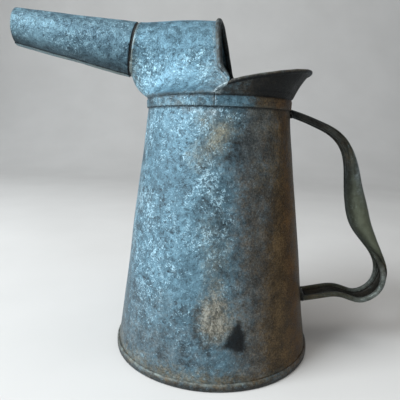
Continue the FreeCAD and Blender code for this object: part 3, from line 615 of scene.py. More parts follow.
def make_base():
    """Set-in bottom: folded rim round the foot of the wall, flat pan with a pressed ring."""
    prof = [
        (0.0, 4.2),
        (20.0, 4.2),
        (30.0, 4.2),
        (42.0, 4.2),
        (43.5, 4.45),
        (45.5, 4.45),
        (47.0, 4.2),
        (52.5, 4.2),
        (54.1, 4.0),
        (54.6, 3.3),
        (54.62, 1.0),
        (54.8, 0.35),
        (55.2, 0.05),
        (55.7, 0.0),
        (56.5, 0.0),
        (57.0, 0.08),
        (57.35, 0.35),
        (57.5, 0.85),
        (57.5, 1.8),
        (57.46, 2.9),
        (57.36, 3.5),
        (57.12, 3.95),
        (56.75, 4.18),
        (56.35, 4.2),
        (56.12, 4.0),
        (56.10, 3.5),
        (56.30, 1.2),
        (55.6, 0.75),
        (55.2, 0.9),
        (55.2, 4.2),
        (54.4, 4.8),
        (47.0, 4.8),
        (45.5, 5.05),
        (43.5, 5.05),
        (42.0, 4.8),
        (20.0, 4.8),
        (0.0, 4.8),
    ]
    r = np.array([p[0] for p in prof])[:, None]
    z = np.array([p[1] for p in prof])[:, None]
    az = np.linspace(0, 360, 361)[:-1][None, :]
    ca, sa = np.cos(np.radians(az)), np.sin(np.radians(az))
    P = np.stack([r * ca, r * sa, z + 0 * az], -1)
    # the hand-folded rim is a little uneven
    edge = smooth(55.4, 57.2, r) * np.ones_like(az)
    wob = waves(P * np.array([1, 1, 0.2]), 26, 31)
    rr = r - edge * (0.10 + 0.09 * wob)
    zz = z + smooth(2.2, 4.0, z) * edge * (-0.14 + 0.13 * waves(P * np.array([1, 1, 0.0]), 17, 33))
    P = np.stack([rr * ca, rr * sa, zz + 0 * az], -1)
    rows, cols = P.shape[:2]
    v = P.reshape(-1, 3)
    f = loft_faces(rows, cols, wrap_cols=True)
    count = len(v)
    a = blank(count)
    R_, Z_ = (r + 0 * az).ravel(), (z + 0 * az).ravel()
    A_ = (az + 0 * r).ravel()
    a["fleck"][:] = 0.25
    a["brown"][:] = 0.42 * (R_ > 54.0) + 0.25
    # painted shade: darker on the lower outer side of the rim by the floor, and on the pan
    a["soot"][:] = 0.50 * ((R_ > 56.9) & (Z_ < 2.2)) + 0.35 * (R_ < 54.0)
    # lighter top of the rim: partly wear, partly painted highlight
    a["wear"][:] = 1.0 * smooth(2.9, 3.9, Z_) * (R_ > 56.2) * (R_ < 57.45)
    a["rust"][:] = 0.5 * smooth(56.6, 56.1, R_) * (R_ > 55.9)
    # on the handle side, away from the light, the rim is rust-brown and its lighter top fades: partly rust, partly
    # painted shade
    round_ = np.abs((A_ + 180.0) % 360.0 - 180.0)
    a["rust"][:] += 0.8 * smooth(60, 30, round_) * (R_ > 55.9)
    a["wear"][:] *= 0.15 + 0.85 * smooth(48, 80, round_)
    a["inner"][:] = np.maximum(a["inner"], 0.55 * smooth(62, 34, round_) * (R_ > 55.9))
    # top of the pan inside the can painted near black: painted shade
    a["inner"][:] = 0.9 * ((Z_ > 4.7) & (R_ < 55.0))
    ob = build("base_rim_and_pan", v, f, "can", WALL, ("base_pan",), attrs=a)
    bm = bmesh.new()
    bm.from_mesh(ob.data)
    bmesh.ops.remove_doubles(bm, verts=bm.verts, dist=1e-6)
    bm.to_mesh(ob.data)
    bm.free()
    return sharp(outward(ob), 50)


# ================================================================ hood
SPOUT_TURN, SPOUT_RISE = 4.0, math.radians(9.5)
AXIS_L = np.array([-math.cos(SPOUT_RISE), 0.0, math.sin(SPOUT_RISE)])
UP_L = np.array([math.sin(SPOUT_RISE), 0.0, math.cos(SPOUT_RISE)])
MOUTH_L = np.array([-46.8, 0.0, 168.5])
MOUTH_R = 14.42
AXIS, UP, MOUTH = rotz(AXIS_L, SPOUT_TURN), rotz(UP_L, SPOUT_TURN), rotz(MOUTH_L, SPOUT_TURN)
SIDE = np.cross(UP, AXIS)
COLLAR_R, COLLAR_LOW, CREASE, FLARE_R, FLARE_Z = 40.3, 137.3, 142.9, 40.6, 143.3

M_LOW, M_HIGH = MOUTH_L - UP_L * MOUTH_R, MOUTH_L + UP_L * MOUTH_R
SECTIONS = [
    ((-FLARE_R, FLARE_Z), (FLARE_R, FLARE_Z), FLARE_R, 2.0),
    ((-42.4, 144.4), (36.5, 158.5), 28.5, 2.0),
    ((-44.7, 146.5), (26.5, 173.0), 21.5, 2.05),
    ((-46.9, 149.4), (11.0, 182.2), 18.2, 2.1),
    ((-48.2, 152.2), (-7.0, 184.6), 16.2, 2.1),
    ((-48.9, 153.8), (-25.0, 184.0), 15.0, 2.05),
    ((M_LOW[0], M_LOW[2]), (M_HIGH[0], M_HIGH[2]), MOUTH_R, 2.0),
]


def spline_weights(count, v):
    """Rows of weights that turn values at evenly spaced places into a clamped cubic through them."""
    par = np.linspace(0, 1, count)
    inner = [par[j : j + 3].mean() for j in range(1, count - 3)]
    kn = np.array([0.0] * 4 + inner + [1.0] * 4)

    def basis(t):
        b = [1.0 if kn[i] <= t < kn[i + 1] else 0.0 for i in range(len(kn) - 1)]
        if t >= 1.0:
            b = [0.0] * (len(kn) - 1)
            b[count - 1] = 1.0
        for k in range(1, 4):
            nb = []
            for i in range(len(kn) - 1 - k):
                x = 0.0
                if kn[i + k] > kn[i]:
                    x += (t - kn[i]) / (kn[i + k] - kn[i]) * b[i]
                if kn[i + k + 1] > kn[i + 1]:
                    x += (kn[i + k + 1] - t) / (kn[i + k + 1] - kn[i + 1]) * b[i + 1]
                nb.append(x)
            b = nb
        return b

    full = np.array([basis(t) for t in par])
    return np.array([basis(t) for t in v]) @ np.linalg.inv(full)


def hood_surface(theta, v):
    """Outside of the hood: theta round each leaning section (0 at its top), v from collar to mouth."""
    rings = []
    for front, top, half, full in SECTIONS:
        f, t = np.array([front[0], 0, front[1]]), np.array([top[0], 0, top[1]])
        c, h = (f + t) / 2, (t - f) / 2
        u = np.sign(np.cos(theta)) * np.abs(np.cos(theta)) ** (2 / full)
        w = np.sign(np.sin(theta)) * np.abs(np.sin(theta)) ** (2 / full)
        rings.append(c + u[:, None] * h + w[:, None] * np.array([0, half, 0]))
    rings = np.array(rings)
    wts = spline_weights(len(SECTIONS), v)
    return rotz(np.einsum("vr,rtk->vtk", wts, rings), SPOUT_TURN)


# the arch at the back of the hood stands in a leaning, slightly turned plane
ARCH_TURN, ARCH_LEAN, ARCH_OFFSET, ARCH_LEVEL = 6.3, math.tan(math.radians(8.4)), -0.85, 185.0
TAN_TURN = math.tan(math.radians(ARCH_TURN))


def arch_x(y, z):
    return ARCH_OFFSET + ARCH_LEAN * (ARCH_LEVEL - z) / math.cos(math.radians(ARCH_TURN)) + TAN_TURN * y


def seam_x(y):
    return 1.4 + math.tan(math.radians(3.0)) * y


def hood_cut(p):
    """Positive behind the hood's free edge: the arch above, the collar's upright joint below."""
    x, y, z = p[:, 0], p[:, 1], p[:, 2]
    foot = 4.6 * smooth(159.0, 151.0, z) * smooth(143.4, 149.5, z)
    low = smooth(146.0, 143.4, z)
    return x - ((1 - low) * (arch_x(y, z) + foot) + low * seam_x(y))


def clip_mesh(ob, g):
    """Cuts the mesh along g = 0 and keeps the part where g is negative."""
    bm = bmesh.new()
    bm.from_mesh(ob.data)
    bm.verts.ensure_lookup_table()
    lay = bm.verts.layers.float.new("cut")
    for vert, val in zip(bm.verts, g):
        vert[lay] = val if abs(val) > 1e-3 else 0.0
    for e in list(bm.edges):
        a, b = e.verts
        if a[lay] * b[lay] < 0:
            _, nv = bmesh.utils.edge_split(e, a, a[lay] / (a[lay] - b[lay]))
            nv[lay] = 0.0
    for f in list(bm.faces):
        vs = [v for v in f.verts if v[lay] == 0.0]
        if len(vs) == 2 and min(v[lay] for v in f.verts) < 0 < max(v[lay] for v in f.verts):
            try:
                bmesh.utils.face_split(f, vs[0], vs[1])
            except ValueError:
                pass
    gone = [f for f in bm.faces if max(v[lay] for v in f.verts) > 0]
    bmesh.ops.delete(bm, geom=gone, context="FACES")
    bm.verts.layers.float.remove(lay)
    bm.to_mesh(ob.data)
    bm.free()
    ob.data.update()


def thick(ob, mm=0.6, offset=-1.0):
    m = ob.modifiers.new("sheet", "SOLIDIFY")
    m.thickness = mm * MM
    m.offset = offset
    m.use_even_offset = False
    m.use_quality_normals = True
    return ob


def collar_profile(crease_z):
    """Collar from its lower edge up through the pressed crease: radius offsets and heights."""
    low = COLLAR_LOW
    return [
        (COLLAR_R - 0.10, low),
        (COLLAR_R, low + 0.12),
        (COLLAR_R + 0.03, low + 0.5),
        (COLLAR_R + 0.05, low + 1.6),
        (COLLAR_R + 0.08, low + 2.9),
        (COLLAR_R + 0.13, crease_z - 1.5),
        (COLLAR_R + 0.12, crease_z - 0.9),
        (COLLAR_R - 0.08, crease_z - 0.55),
        (COLLAR_R - 0.38, crease_z - 0.15),
        (COLLAR_R - 0.30, crease_z + 0.12),
    ]


def surface_attrs(ob, paint):
    me = ob.data
    co = np.zeros(len(me.vertices) * 3)
    me.vertices.foreach_get("co", co)
    co = co.reshape(-1, 3) / MM
    for key, values in paint(co).items():
        a = me.attributes.new(key, "FLOAT", "POINT")
        a.data.foreach_set("value", np.asarray(values, np.float32))


def crease_level(x):
    """The crease sits a little lower at the spout side."""
    return CREASE - 0.35 + 0.012 * x


def make_hood():
    th = np.linspace(0, TAU, 241)[:-1]
    v = np.concatenate([np.linspace(0, 0.12, 9), np.linspace(0.12, 0.96, 62)[1:], np.linspace(0.96, 1.0, 6)[1:]])
    S = hood_surface(th, v)
    # collar rows under the hood, at the same angles
    base = S[0]
    rad = np.hypot(base[:, 0], base[:, 1])
    unit = base[:, :2] / rad[:, None]
    rows = []
    prof = collar_profile(0.0)
    for k in range(len(prof)):
        cz = crease_level(base[:, 0])
        pr = collar_profile(cz)[k]
        rr = np.full(len(rad), pr[0])
        zz = pr[1] + 0 * rad
        rows.append(np.stack([unit[:, 0] * rr, unit[:, 1] * rr, zz], -1))
    # rounded front rim and the flat wall with the mouth's hole
    rim = []
    cu, su = np.cos(th), np.sin(th)
    ringdir = cu[:, None] * UP + su[:, None] * rotz(np.array([0, 1.0, 0]), SPOUT_TURN)
    for dr, dt in ((0.10, -0.25), (0.04, 0.0), (-0.25, 0.10), (-0.7, 0.06), (-1.4, 0.0), (-1.82, 0.0)):
        rim.append(MOUTH + ringdir * (MOUTH_R + dr) + AXIS * (dt - 0.1))
    grid = np.concatenate([np.array(rows), S[:-1], np.array(rim)])
    nr = len(rows)
    # add slight unevenness, not at the collar, the hood's start or the mouth
    w = waves(grid, 34, 41) * 0.16 + waves(grid, 13, 42) * 0.05
    c = np.array([0, 0, 165.0])
    d = grid - c
    d /= np.linalg.norm(d, axis=-1)[..., None]
    k = np.zeros(len(grid))
    k[nr + 3 : nr + len(S) - 4] = 1.0
    grid = grid + d * (w * k[:, None])[..., None]
    # a bead pressed round the front, just behind the mouth
    for r in range(nr + len(S) - 8, nr + len(S) - 1):
        t = (grid[r] - MOUTH) @ AXIS
        rd = grid[r] - MOUTH - t[:, None] * AXIS
        rd /= np.linalg.norm(rd, axis=1)[:, None]
        grid[r] += rd * (0.22 * np.exp(-(((t + 1.0) / 0.8) ** 2)))[:, None]
    rws, cols = grid.shape[:2]
    ob = build(
        "spout_hood_sheet",
        grid.reshape(-1, 3),
        loft_faces(rws, cols, wrap_cols=True),
        "can",
        TOP,
        ("spout_hood",),
    )
    outward(ob)
    co = np.zeros(len(ob.data.vertices) * 3)
    ob.data.vertices.foreach_get("co", co)
    clip_mesh(ob, hood_cut(co.reshape(-1, 3) / MM))

    def paint(p):
        a = blank(len(p))
        x, y, z = p.T
        az = np.degrees(np.arctan2(y, x))
        near = smooth(8, -10, y)
        a["fleck"][:] = np.clip(0.35 + 0.8 * np.exp(-(((x + 16) / 17) ** 2 + ((z - 158) / 12) ** 2)), 0, 1.15)
        a["fleck"][:] += 0.70 * smooth(-28, -40, x)
        # fewer pale flecks on top of the hood: painted shade on its top
        a["fleck"][:] *= 1 - 0.55 * smooth(176, 184, z)
        band = (z < crease_level(x) - 0.4) * 1.0
        a["fleck"][:] = np.where(band > 0, 0.75, a["fleck"])
        cr = crease_level(x)
        # painted shade: dark line in the crease and along the collar's lower edge
        a["line"][:] = 0.92 * np.exp(-(((z - cr - 0.10) / 0.78) ** 2))
        a["line"][:] = np.maximum(a["line"], 0.55 * smooth(COLLAR_LOW + 0.35, COLLAR_LOW, z))
        a["brown"][:] = 0.38 * np.exp(-(((z - cr - 0.9) / 1.3) ** 2)) + 0.24 * band
        t = (p - MOUTH) @ AXIS
        a["wear"][:] = 0.60 * smooth(-0.9, -0.3, t) * smooth(0.35, 0.0, t) + 0.25 * band * smooth(139.5, 137.6, z)
        a["tan"][:] = 0.45 * smooth(-1.6, -0.5, t) + 0.34 * smooth(-39, -46, x) * smooth(178, 150, z)
        rad = np.linalg.norm(p - MOUTH - t[:, None] * AXIS, axis=1)
        # inside of the mouth painted near black: painted shade
        a["inner"][:] = 0.9 * smooth(14.2, 13.7, rad) * (t > -0.4)
        gap = -hood_cut(p)
        a["solder"][:] = 1.05 * np.exp(-((gap / 2.4) ** 2)) * smooth(156.5, 150.5, z) * (z > 142.4)
        a["solder"][:] += 0.55 * np.exp(-(((gap - 2.2) / 1.0) ** 2)) * smooth(150, 156, z)
        a["solder"][:] += 0.7 * np.exp(-((gap / 1.2) ** 2)) * band
        # painted shade: darker low on the front round the mouth, where the spout's joint gap is
        a["soot"][:] = 0.35 * smooth(-47.0, -48.6, x) * smooth(170, 156, z)
        # duller and crusted towards the foot of the arch
        foot = smooth(-15, 1, x) * smooth(174, 157, z) * (1 - band)
        a["slate"][:] = 0.40 * foot
        a["fleck"][:] += 0.35 * foot
        return a

    surface_attrs(ob, paint)
    thick(ob)
    return sharp(ob, 55)


def hood_edge_path():
    """Points along the outside of the hood at the arch, from the far foot over the crown to the near foot."""
    th = np.linspace(-math.pi, math.pi, 721)
    v = np.linspace(0.0, 1.0, 241)
    S = hood_surface(th, v).reshape(-1, 3)
    G = hood_cut(S).reshape(len(v), len(th))
    S = S.reshape(len(v), len(th), 3)
    pts = []
    for j in range(len(th)):
        g = G[:, j]
        for i in np.nonzero((g[:-1] > 0) & (g[1:] <= 0))[0]:
            t = g[i] / (g[i] - g[i + 1])
            pts.append(S[i, j] * (1 - t) + S[i + 1, j] * t)
    for i in range(len(v)):
        g = G[i]
        for j in np.nonzero(g[:-1] * g[1:] < 0)[0]:
            t = g[j] / (g[j] - g[j + 1])
            pts.append(S[i, j] * (1 - t) + S[i, j + 1] * t)
    pts = np.array(pts)
    pts = pts[pts[:, 2] > 149.9]
    key = np.arctan2(pts[:, 2] - 145.0, pts[:, 1] - 0.4)
    pts = pts[np.argsort(key)]
    return resample(pts, 120, 7)


def resample(pts, count, blur=0):
    d = np.r_[0, np.cumsum(np.linalg.norm(np.diff(pts, axis=0), axis=1))]
    keep = np.r_[True, np.diff(d) > 1e-6]
    d, pts = d[keep], pts[keep]
    s = np.linspace(0, d[-1], count)
    out = np.stack([np.interp(s, d, pts[:, k]) for k in range(3)], -1)
    for _ in range(blur):
        out[1:-1] = 0.25 * out[:-2] + 0.5 * out[1:-1] + 0.25 * out[2:]
    return out


def tube(path, radius, sides=20, seed=0, rough=0.0, cap=True):
    """Round bar along points; radius may vary along it."""
    path = np.asarray(path, float)
    n = len(path)
    tan = np.gradient(path, axis=0)
    tan /= np.linalg.norm(tan, axis=1)[:, None]
    ref = np.cross(tan[0], [0.3, 0.5, 0.8])
    ref /= np.linalg.norm(ref)
    us, ws = [], []
    u = ref
    for i in range(n):
        u = u - tan[i] * (u @ tan[i])
        u = u / np.linalg.norm(u)
        us.append(u)
        ws.append(np.cross(tan[i], u))
    rad = np.broadcast_to(np.asarray(radius, float), (n,))
    ang = np.linspace(0, TAU, sides + 1)[:-1]
    V = path[:, None, :] + rad[:, None, None] * (
        np.cos(ang)[None, :, None] * np.array(us)[:, None, :] + np.sin(ang)[None, :, None] * np.array(ws)[:, None, :]
    )
    if rough:
        dirs = V - path[:, None, :]
        dirs /= np.linalg.norm(dirs, axis=-1)[..., None]
        V = V + dirs * (rough * waves(V, 6.0, seed))[..., None]
    faces = loft_faces(n, sides, wrap_cols=True)
    v = V.reshape(-1, 3)
    if cap:
        v = np.concatenate([v, path[:1] - tan[:1] * rad[0] * 0.45, path[-1:] + tan[-1:] * rad[-1] * 0.45])
        a, b = n * sides, n * sides + 1
        faces += [((c + 1) % sides, c, a) for c in range(sides)]
        last = (n - 1) * sides
        faces += [(last + c, last + (c + 1) % sides, b) for c in range(sides)]
    return v, faces


def make_hood_roll():
    path = hood_edge_path()
    s = np.linspace(0, 1, len(path))
    rad = 1.52 + 0.05 * waves(path, 14, 51)
    rad = rad * (0.42 + 0.58 * smooth(0.0, 0.13, s) * smooth(1.0, 0.87, s))
    v, f = tube(path, rad, 22, 52, 0.05)

    def paint(p):
        a = blank(len(p))
        x, y, z = p.T
        g = x - arch_x(y, z)
        a["fleck"][:] = 0.25
        a["solder"][:] = 0.75 * smooth(-0.7, -1.35, g) * (0.4 + 0.6 * smooth(-0.2, 0.6, waves(p, 9, 53)))
        a["brown"][:] = (0.65 + 0.25 * smooth(178, 185, z)) * smooth(150, 157, z)
        # darker on the back of the bead behind the arch: partly soot, partly painted shade
        a["soot"][:] = (0.45 + 0.5 * smooth(0.0, 1.1, g)) * (0.3 + 0.7 * smooth(150, 158, z))
        a["wear"][:] = 0.15
        return a

    ob = build("hood_edge_bead", v, f, "can", TOP, ("hood_edge_roll",))
    outward(ob)
    surface_attrs(ob, paint)
    v, f = tube(path[9:-9], 0.9 * rad[9:-9] / rad.max(), 16)
    outward(build("hood_wire", v, f, "can", WIRE, ("hood_rim_wire",)))
    return ob


# ================================================================ lip
LIP = [(40.6, 143.3), (41.1, 144.3), (42.23, 146.57), (44.13, 150.26), (46.36, 153.74), (49.2, 157.5), (51.78, 160.34)]
LIP_SIDE, LIP_BACK_R, LIP_BACK_Z = 147.2, 49.2, 157.5
FALL = (LIP_BACK_Z - LIP_SIDE) / LIP_BACK_R


def lip_radius(z):
    return np.interp(z, [p[1] for p in LIP], [p[0] for p in LIP])


def lip_edge(az):
    """Radius and height of the lip's edge at an angle; it dips to the collar near the joint."""
    z = np.full(np.shape(az), LIP_SIDE)
    c = np.cos(np.radians(az))
    for _ in range(80):
        r = lip_radius(z)
        x = r * c
        flat = LIP_SIDE + FALL * x
        dip = LIP_SIDE + FALL * 6.5 + math.tan(math.radians(30.0)) * (x - 6.5)
        k = 0.9
        z = 0.5 * z + 0.5 * (-k * np.log(np.exp(-flat / k) + np.exp(-dip / k)) + 0.0)
        z = np.maximum(z, 143.9)
    return lip_radius(z), z


def seam_angles():
    """Angles of the collar's two joints."""
    out = []
    for side in (-1, 1):
        a = side * 90.0
        for _ in range(20):
            y = COLLAR_R * math.sin(math.radians(a))
            a = side * math.degrees(math.acos((seam_x(y) + 0.15) / COLLAR_R))
        out.append(a)
    return out


def make_lip():
    a0, a1 = seam_angles()
    az = np.linspace(a0, a1, 221)
    er, ez = lip_edge(az)
    ca, sa = np.cos(np.radians(az)), np.sin(np.radians(az))
    cz = crease_level(COLLAR_R * ca)
    rows = []
    for k in range(len(collar_profile(0.0))):
        pr = collar_profile(cz)[k]
        rows.append(np.stack([pr[0] * ca, pr[0] * sa, pr[1] + 0 * az], -1))
    for t in np.linspace(0.0, 1.0, 25)[1:]:
        z = FLARE_Z + (ez - FLARE_Z) * t
        # rounder than the straight runs of the flare
        r = 0.5 * lip_radius(z) + 0.25 * lip_radius(np.minimum(z + 0.8, ez)) + 0.25 * lip_radius(np.maximum(z - 0.8, FLARE_Z))
        r = r + (z > FLARE_Z) * 0
        rows.append(np.stack([r * ca, r * sa, z], -1))
    grid = np.array(rows)
    w = 0.14 * waves(grid, 30, 61) + 0.05 * waves(grid, 11, 62)
    k = np.zeros(len(grid))
    k[len(collar_profile(0.0)) + 4 :] = 1.0
    n = np.stack([ca, sa, -0.4 + 0 * ca], -1)
    grid = grid + (w * k[:, None])[..., None] * n[None]
    rws, cols = grid.shape[:2]

    def paint(p):
        a = blank(len(p))
        x, y, z = p.T
        az_ = np.degrees(np.arctan2(y, x))
        cr = crease_level(x)
        band = (z < cr - 0.4) * 1.0
        a["fleck"][:] = 0.15 + 0.60 * band * smooth(-64, -86, az_)
        # browner and darker towards the lip's middle, away from the light: partly stain and soot, partly painted shade;
        # the near-black part is painted shade
        a["brown"][:] = np.clip(0.42 + 0.66 * smooth(-90, -52, -np.abs(az_)), 0, 1.05) * (1 - 0.88 * band * smooth(-56, -76, az_))
        a["soot"][:] = (1 - band) * (0.44 + 0.38 * smooth(-76, -52, -np.abs(az_)) + 0.25 * smooth(148, 154, z) * smooth(-80, -40, -np.abs(az_)))
        a["inner"][:] = (z > cr + 0.6) * smooth(-92, -78, -np.abs(az_)) * (0.14 + 0.66 * smooth(-78, -36, -np.abs(az_)))
        # painted shade: dark line in the crease and along the collar's lower edge
        a["line"][:] = 0.95 * np.exp(-(((z - cr - 0.05) / 0.6) ** 2))
        a["line"][:] = np.maximum(a["line"], 0.6 * smooth(COLLAR_LOW + 0.35, COLLAR_LOW, z))
        # rust-brown on the handle side of the collar and lip, away from the light: partly rust, partly painted shade
        a["rust"][:] = 0.9 * band * smooth(-60, -25, -np.abs(az_)) + 0.4 * smooth(-50, -20, -np.abs(az_)) * smooth(150, 145, z)
        near = np.minimum(np.abs(az_ - a0), np.abs(az_ - a1))
        a["solder"][:] = 0.9 * smooth(6.5, 1.5, near) * (z > 142.6) + 0.5 * smooth(2.0, 0.6, near) * band
        a["wear"][:] = 0.3 * band * smooth(139.5, 137.6, z)
        return a

    ob = build(
        "filler_lip_sheet",
        grid.reshape(-1, 3),
        loft_faces(rws, cols),
        "can",
        TOP,
        ("filler_lip",),
    )
    outward(ob)
    # outside is away from the axis
    me = ob.data
    s = sum(p.normal.x * p.center.x + p.normal.y * p.center.y for p in me.polygons)
    if s < 0:
        me.flip_normals()
    surface_attrs(ob, paint)
    thick(ob)
    return sharp(ob, 55)


def make_lip_roll():
    a0, a1 = seam_angles()
    az = np.linspace(a0 + 4.5, a1 - 4.5, 150)
    er, ez = lip_edge(az)
    path = np.stack([er * np.cos(np.radians(az)), er * np.sin(np.radians(az)), ez], -1)
    path = resample(path, 170, 4)
    s = np.linspace(0, 1, len(path))
    rad = 1.06 + 0.05 * waves(path, 16, 71)
    rad = rad * (0.45 + 0.55 * smooth(0, 0.07, s) * smooth(1, 0.93, s))
    v, f = tube(path, rad, 18, 72, 0.04)

    def paint(p):
        a = blank(len(p))
        x, y, z = p.T
        az_ = np.degrees(np.arctan2(y, x))
        er_, ez_ = lip_edge(np.clip(az_, a0, a1))
        up = z - ez_
        a["fleck"][:] = 0.2
        a["brown"][:] = 0.85
        # painted shade: dark underside of the roll
        a["soot"][:] = 0.45 + 0.6 * smooth(0.45, -0.5, up)
        a["inner"][:] = 0.5 * smooth(0.3, -0.6, up)
        # painted highlight along the top of the roll, stronger on the side towards the light; partly wear
        a["wear"][:] = (0.25 + 0.55 * smooth(-40, -75, az_)) * smooth(0.5, 1.0, up)
        return a

    ob = build("lip_edge_bead", v, f, "can", TOP, ("lip_edge_roll",))
    outward(ob)
    surface_attrs(ob, paint)
    return ob


# ================================================================ spout
def make_spout():
    """Cone with a lap seam underneath; axis along AXIS, root beside the hood's mouth."""
    root_t, tip_t, root_r, tip_r, wall = 1.2, 66.4, 14.65, 9.7, 0.6
    slim = (root_r - tip_r) / (tip_t - root_t)
    # angles from straight down, with close pairs at the lap's edges
    lap_mm, lap_turn = 2.0, math.radians(8.5)
    ts = np.concatenate([[root_t, root_t + 0.18, root_t + 0.5], np.linspace(root_t + 1.2, tip_t - 0.8, 74), [tip_t - 0.3, tip_t - 0.08, tip_t]])
    down = -UP
    left = np.cross(AXIS, down)
    rows_o, rows_i, lifts, seams = [], [], [], []
    for t in ts:
        r = root_r - slim * (t - root_t)
        la = lap_mm / r
        ang = np.concatenate(
            [
                np.linspace(-la * 0.96, la * 0.96, 9),
                [la * 1.02, la * 1.08, la * 1.3],
                np.linspace(la * 1.3, TAU - la * 1.3, 200)[1:-1],
                [TAU - la * 1.3, TAU - la * 1.08, TAU - la * 1.02],
            ]
        )
        d = np.abs((ang + math.pi) % TAU - math.pi)
        lift = 0.46 * smooth(la * 1.07, la * 0.99, d)
        rr = r + lift
        # tip cut a little off square, edges eased
        cut = 0.9 * np.cos(ang + lap_turn) * smooth(tip_t - 14, tip_t, t)
        tt = t - cut
        ease = 0.16 * smooth(tip_t - 0.25, tip_t, t) + 0.16 * smooth(root_t + 0.2, root_t, t)
        dirs = np.cos(ang + lap_turn)[:, None] * down + np.sin(ang + lap_turn)[:, None] * left
        p0 = MOUTH + np.asarray(tt)[:, None] * AXIS
        P = p0 + dirs * (rr - ease)[:, None]
        w = (0.12 * waves(P, 28, 81) + 0.04 * waves(P, 10, 82)) * smooth(root_t + 1, root_t + 8, t) - 0.12
        P = P + dirs * w[:, None]
        rows_o.append(P)
        rows_i.append(p0 + dirs * (r - wall + (w + 0.02) * 0.6)[:, None])
        lifts.append(lift)
        seams.append(smooth(la * 1.6, la * 1.25, d) * (d > la * 0.99))
    O, I = np.array(rows_o), np.array(rows_i)
    rws, cols = O.shape[:2]
    n = rws * cols
    f = loft_faces(rws, cols, wrap_cols=True)
    g = [(a + n, d + n, c + n, b + n) for a, b, c, d in f]
    rim = []
    for c in range(cols):
        d = (c + 1) % cols
        top = (rws - 1) * cols
        rim.append((top + c, top + d, top + d + n, top + c + n))
        rim.append((d, c, c + n, d + n))
    a = blank(2 * n)
    T = np.repeat(ts, cols)
    L = np.concatenate(lifts) / 0.46
    p = O.reshape(-1, 3)
    o = slice(0, n)
    t = (p - MOUTH) @ AXIS
    low = ((p - MOUTH - t[:, None] * AXIS) @ -UP) / np.maximum(root_r - slim * (t - root_t), 1)
    # painted shade: fewer pale flecks, brown and dark on the underside, and dark at the root by the joint gap
    a["fleck"][o] = np.clip(0.55 + 0.5 * np.exp(-(((t - 30) / 26) ** 2)) - 0.5 * smooth(0.45, 0.95, low), 0, 1)
    a["brown"][o] = 0.12 * smooth(0.55, 1.0, low) * (1 - L)
    a["soot"][o] = 0.16 * smooth(46, 62, t) + 0.80 * smooth(1.75, 1.15, T) + 0.35 * smooth(tip_t - 1.2, tip_t, T) + 0.68 * smooth(0.3, 0.9, low) * (1 - L)
    a["wear"][o] = 1.0 * L + 0.55 * smooth(tip_t - 0.9, tip_t - 0.2, T)
    edge = np.exp(-(((L - 0.5) / 0.3) ** 2)) * (L > 0.02) * (L < 0.98)
    # painted shade: dark line beside the lap's edges
    a["line"][o] = np.clip(np.maximum(0.95 * edge, 0.85 * np.concatenate(seams)), 0, 1)
    a["tan"][o] = 0.4 * L
    # inside painted near black: painted shade
    a["inner"][n:] = 1.0 - 0.25 * smooth(tip_t - 4, tip_t, T)
    v = np.concatenate([p, I.reshape(-1, 3)])
    ob = build("spout_cone_sheet", v, f + g + rim, "spout", SPOUT, ("spout_cone",), attrs=a)
    return sharp(outward(ob), 45)


# ================================================================ handle
HANDLE_LINE = [
    # x, z, crown, half distance of the rolled edges, half width of the strap, how far it closes round
    (37.5, 136.9, 2.5, 5.0, 3.46, 0.0),
    (44.4, 134.9, 2.6, 5.0, 3.46, 0.0),
    (55.4, 130.6, 2.8, 5.0, 3.6, 0.05),
    (65.6, 125.0, 3.2, 4.6, 4.9, 0.35),
    (71.5, 117.3, 4.0, 3.4, 6.1, 0.7),
    (73.9, 107.0, 6.1, 2.1, 7.0, 0.95),
    (75.0, 95.5, 8.4, 1.6, 7.5, 1.0),
    (76.5, 85.0, 10.2, 1.6, 7.8, 1.0),
    (79.6, 75.2, 10.1, 1.6, 7.8, 1.0),
    (85.5, 67.1, 7.8, 1.9, 7.5, 1.0),
    (91.3, 60.5, 5.1, 3.2, 7.2, 0.85),
    (95.6, 54.0, 3.6, 5.2, 6.9, 0.5),
    (97.8, 46.0, 3.4, 6.6, 6.0, 0.15),
    (96.2, 38.2, 3.1, 7.0, 5.46, 0.0),
    (91.4, 33.2, 2.9, 7.0, 5.46, 0.0),
    (85.6, 31.2, 2.7, 7.0, 5.46, 0.0),
    (79.4, 32.6, 2.6, 7.0, 5.46, 0.0),
    (73.0, 34.0, 2.5, 7.0, 5.46, 0.0),
    (64.0, 32.7, 2.5, 7.0, 5.46, 0.0),
    (54.5, 30.6, 2.5, 7.0, 5.46, 0.0),
    (48.0, 29.4, 2.5, 7.0, 5.46, 0.0),
]


def natural_spline(s, y, at):
    """Cubic through points with free ends."""
    n = len(s)
    h = np.diff(s)
    A = np.zeros((n, n))
    b = np.zeros(n)
    A[0, 0] = A[-1, -1] = 1
    for i in range(1, n - 1):
        A[i, i - 1], A[i, i], A[i, i + 1] = h[i - 1], 2 * (h[i - 1] + h[i]), h[i]
        b[i] = 6 * ((y[i + 1] - y[i]) / h[i] - (y[i] - y[i - 1]) / h[i - 1])
    m = np.linalg.solve(A, b)
    k = np.clip(np.searchsorted(s, at) - 1, 0, n - 2)
    t = at - s[k]
    hk = h[k]
    return (
        y[k]
        + t * ((y[k + 1] - y[k]) / hk - hk * (2 * m[k] + m[k + 1]) / 6)
        + t * t * m[k] / 2
        + t**3 * (m[k + 1] - m[k]) / (6 * hk)
    )


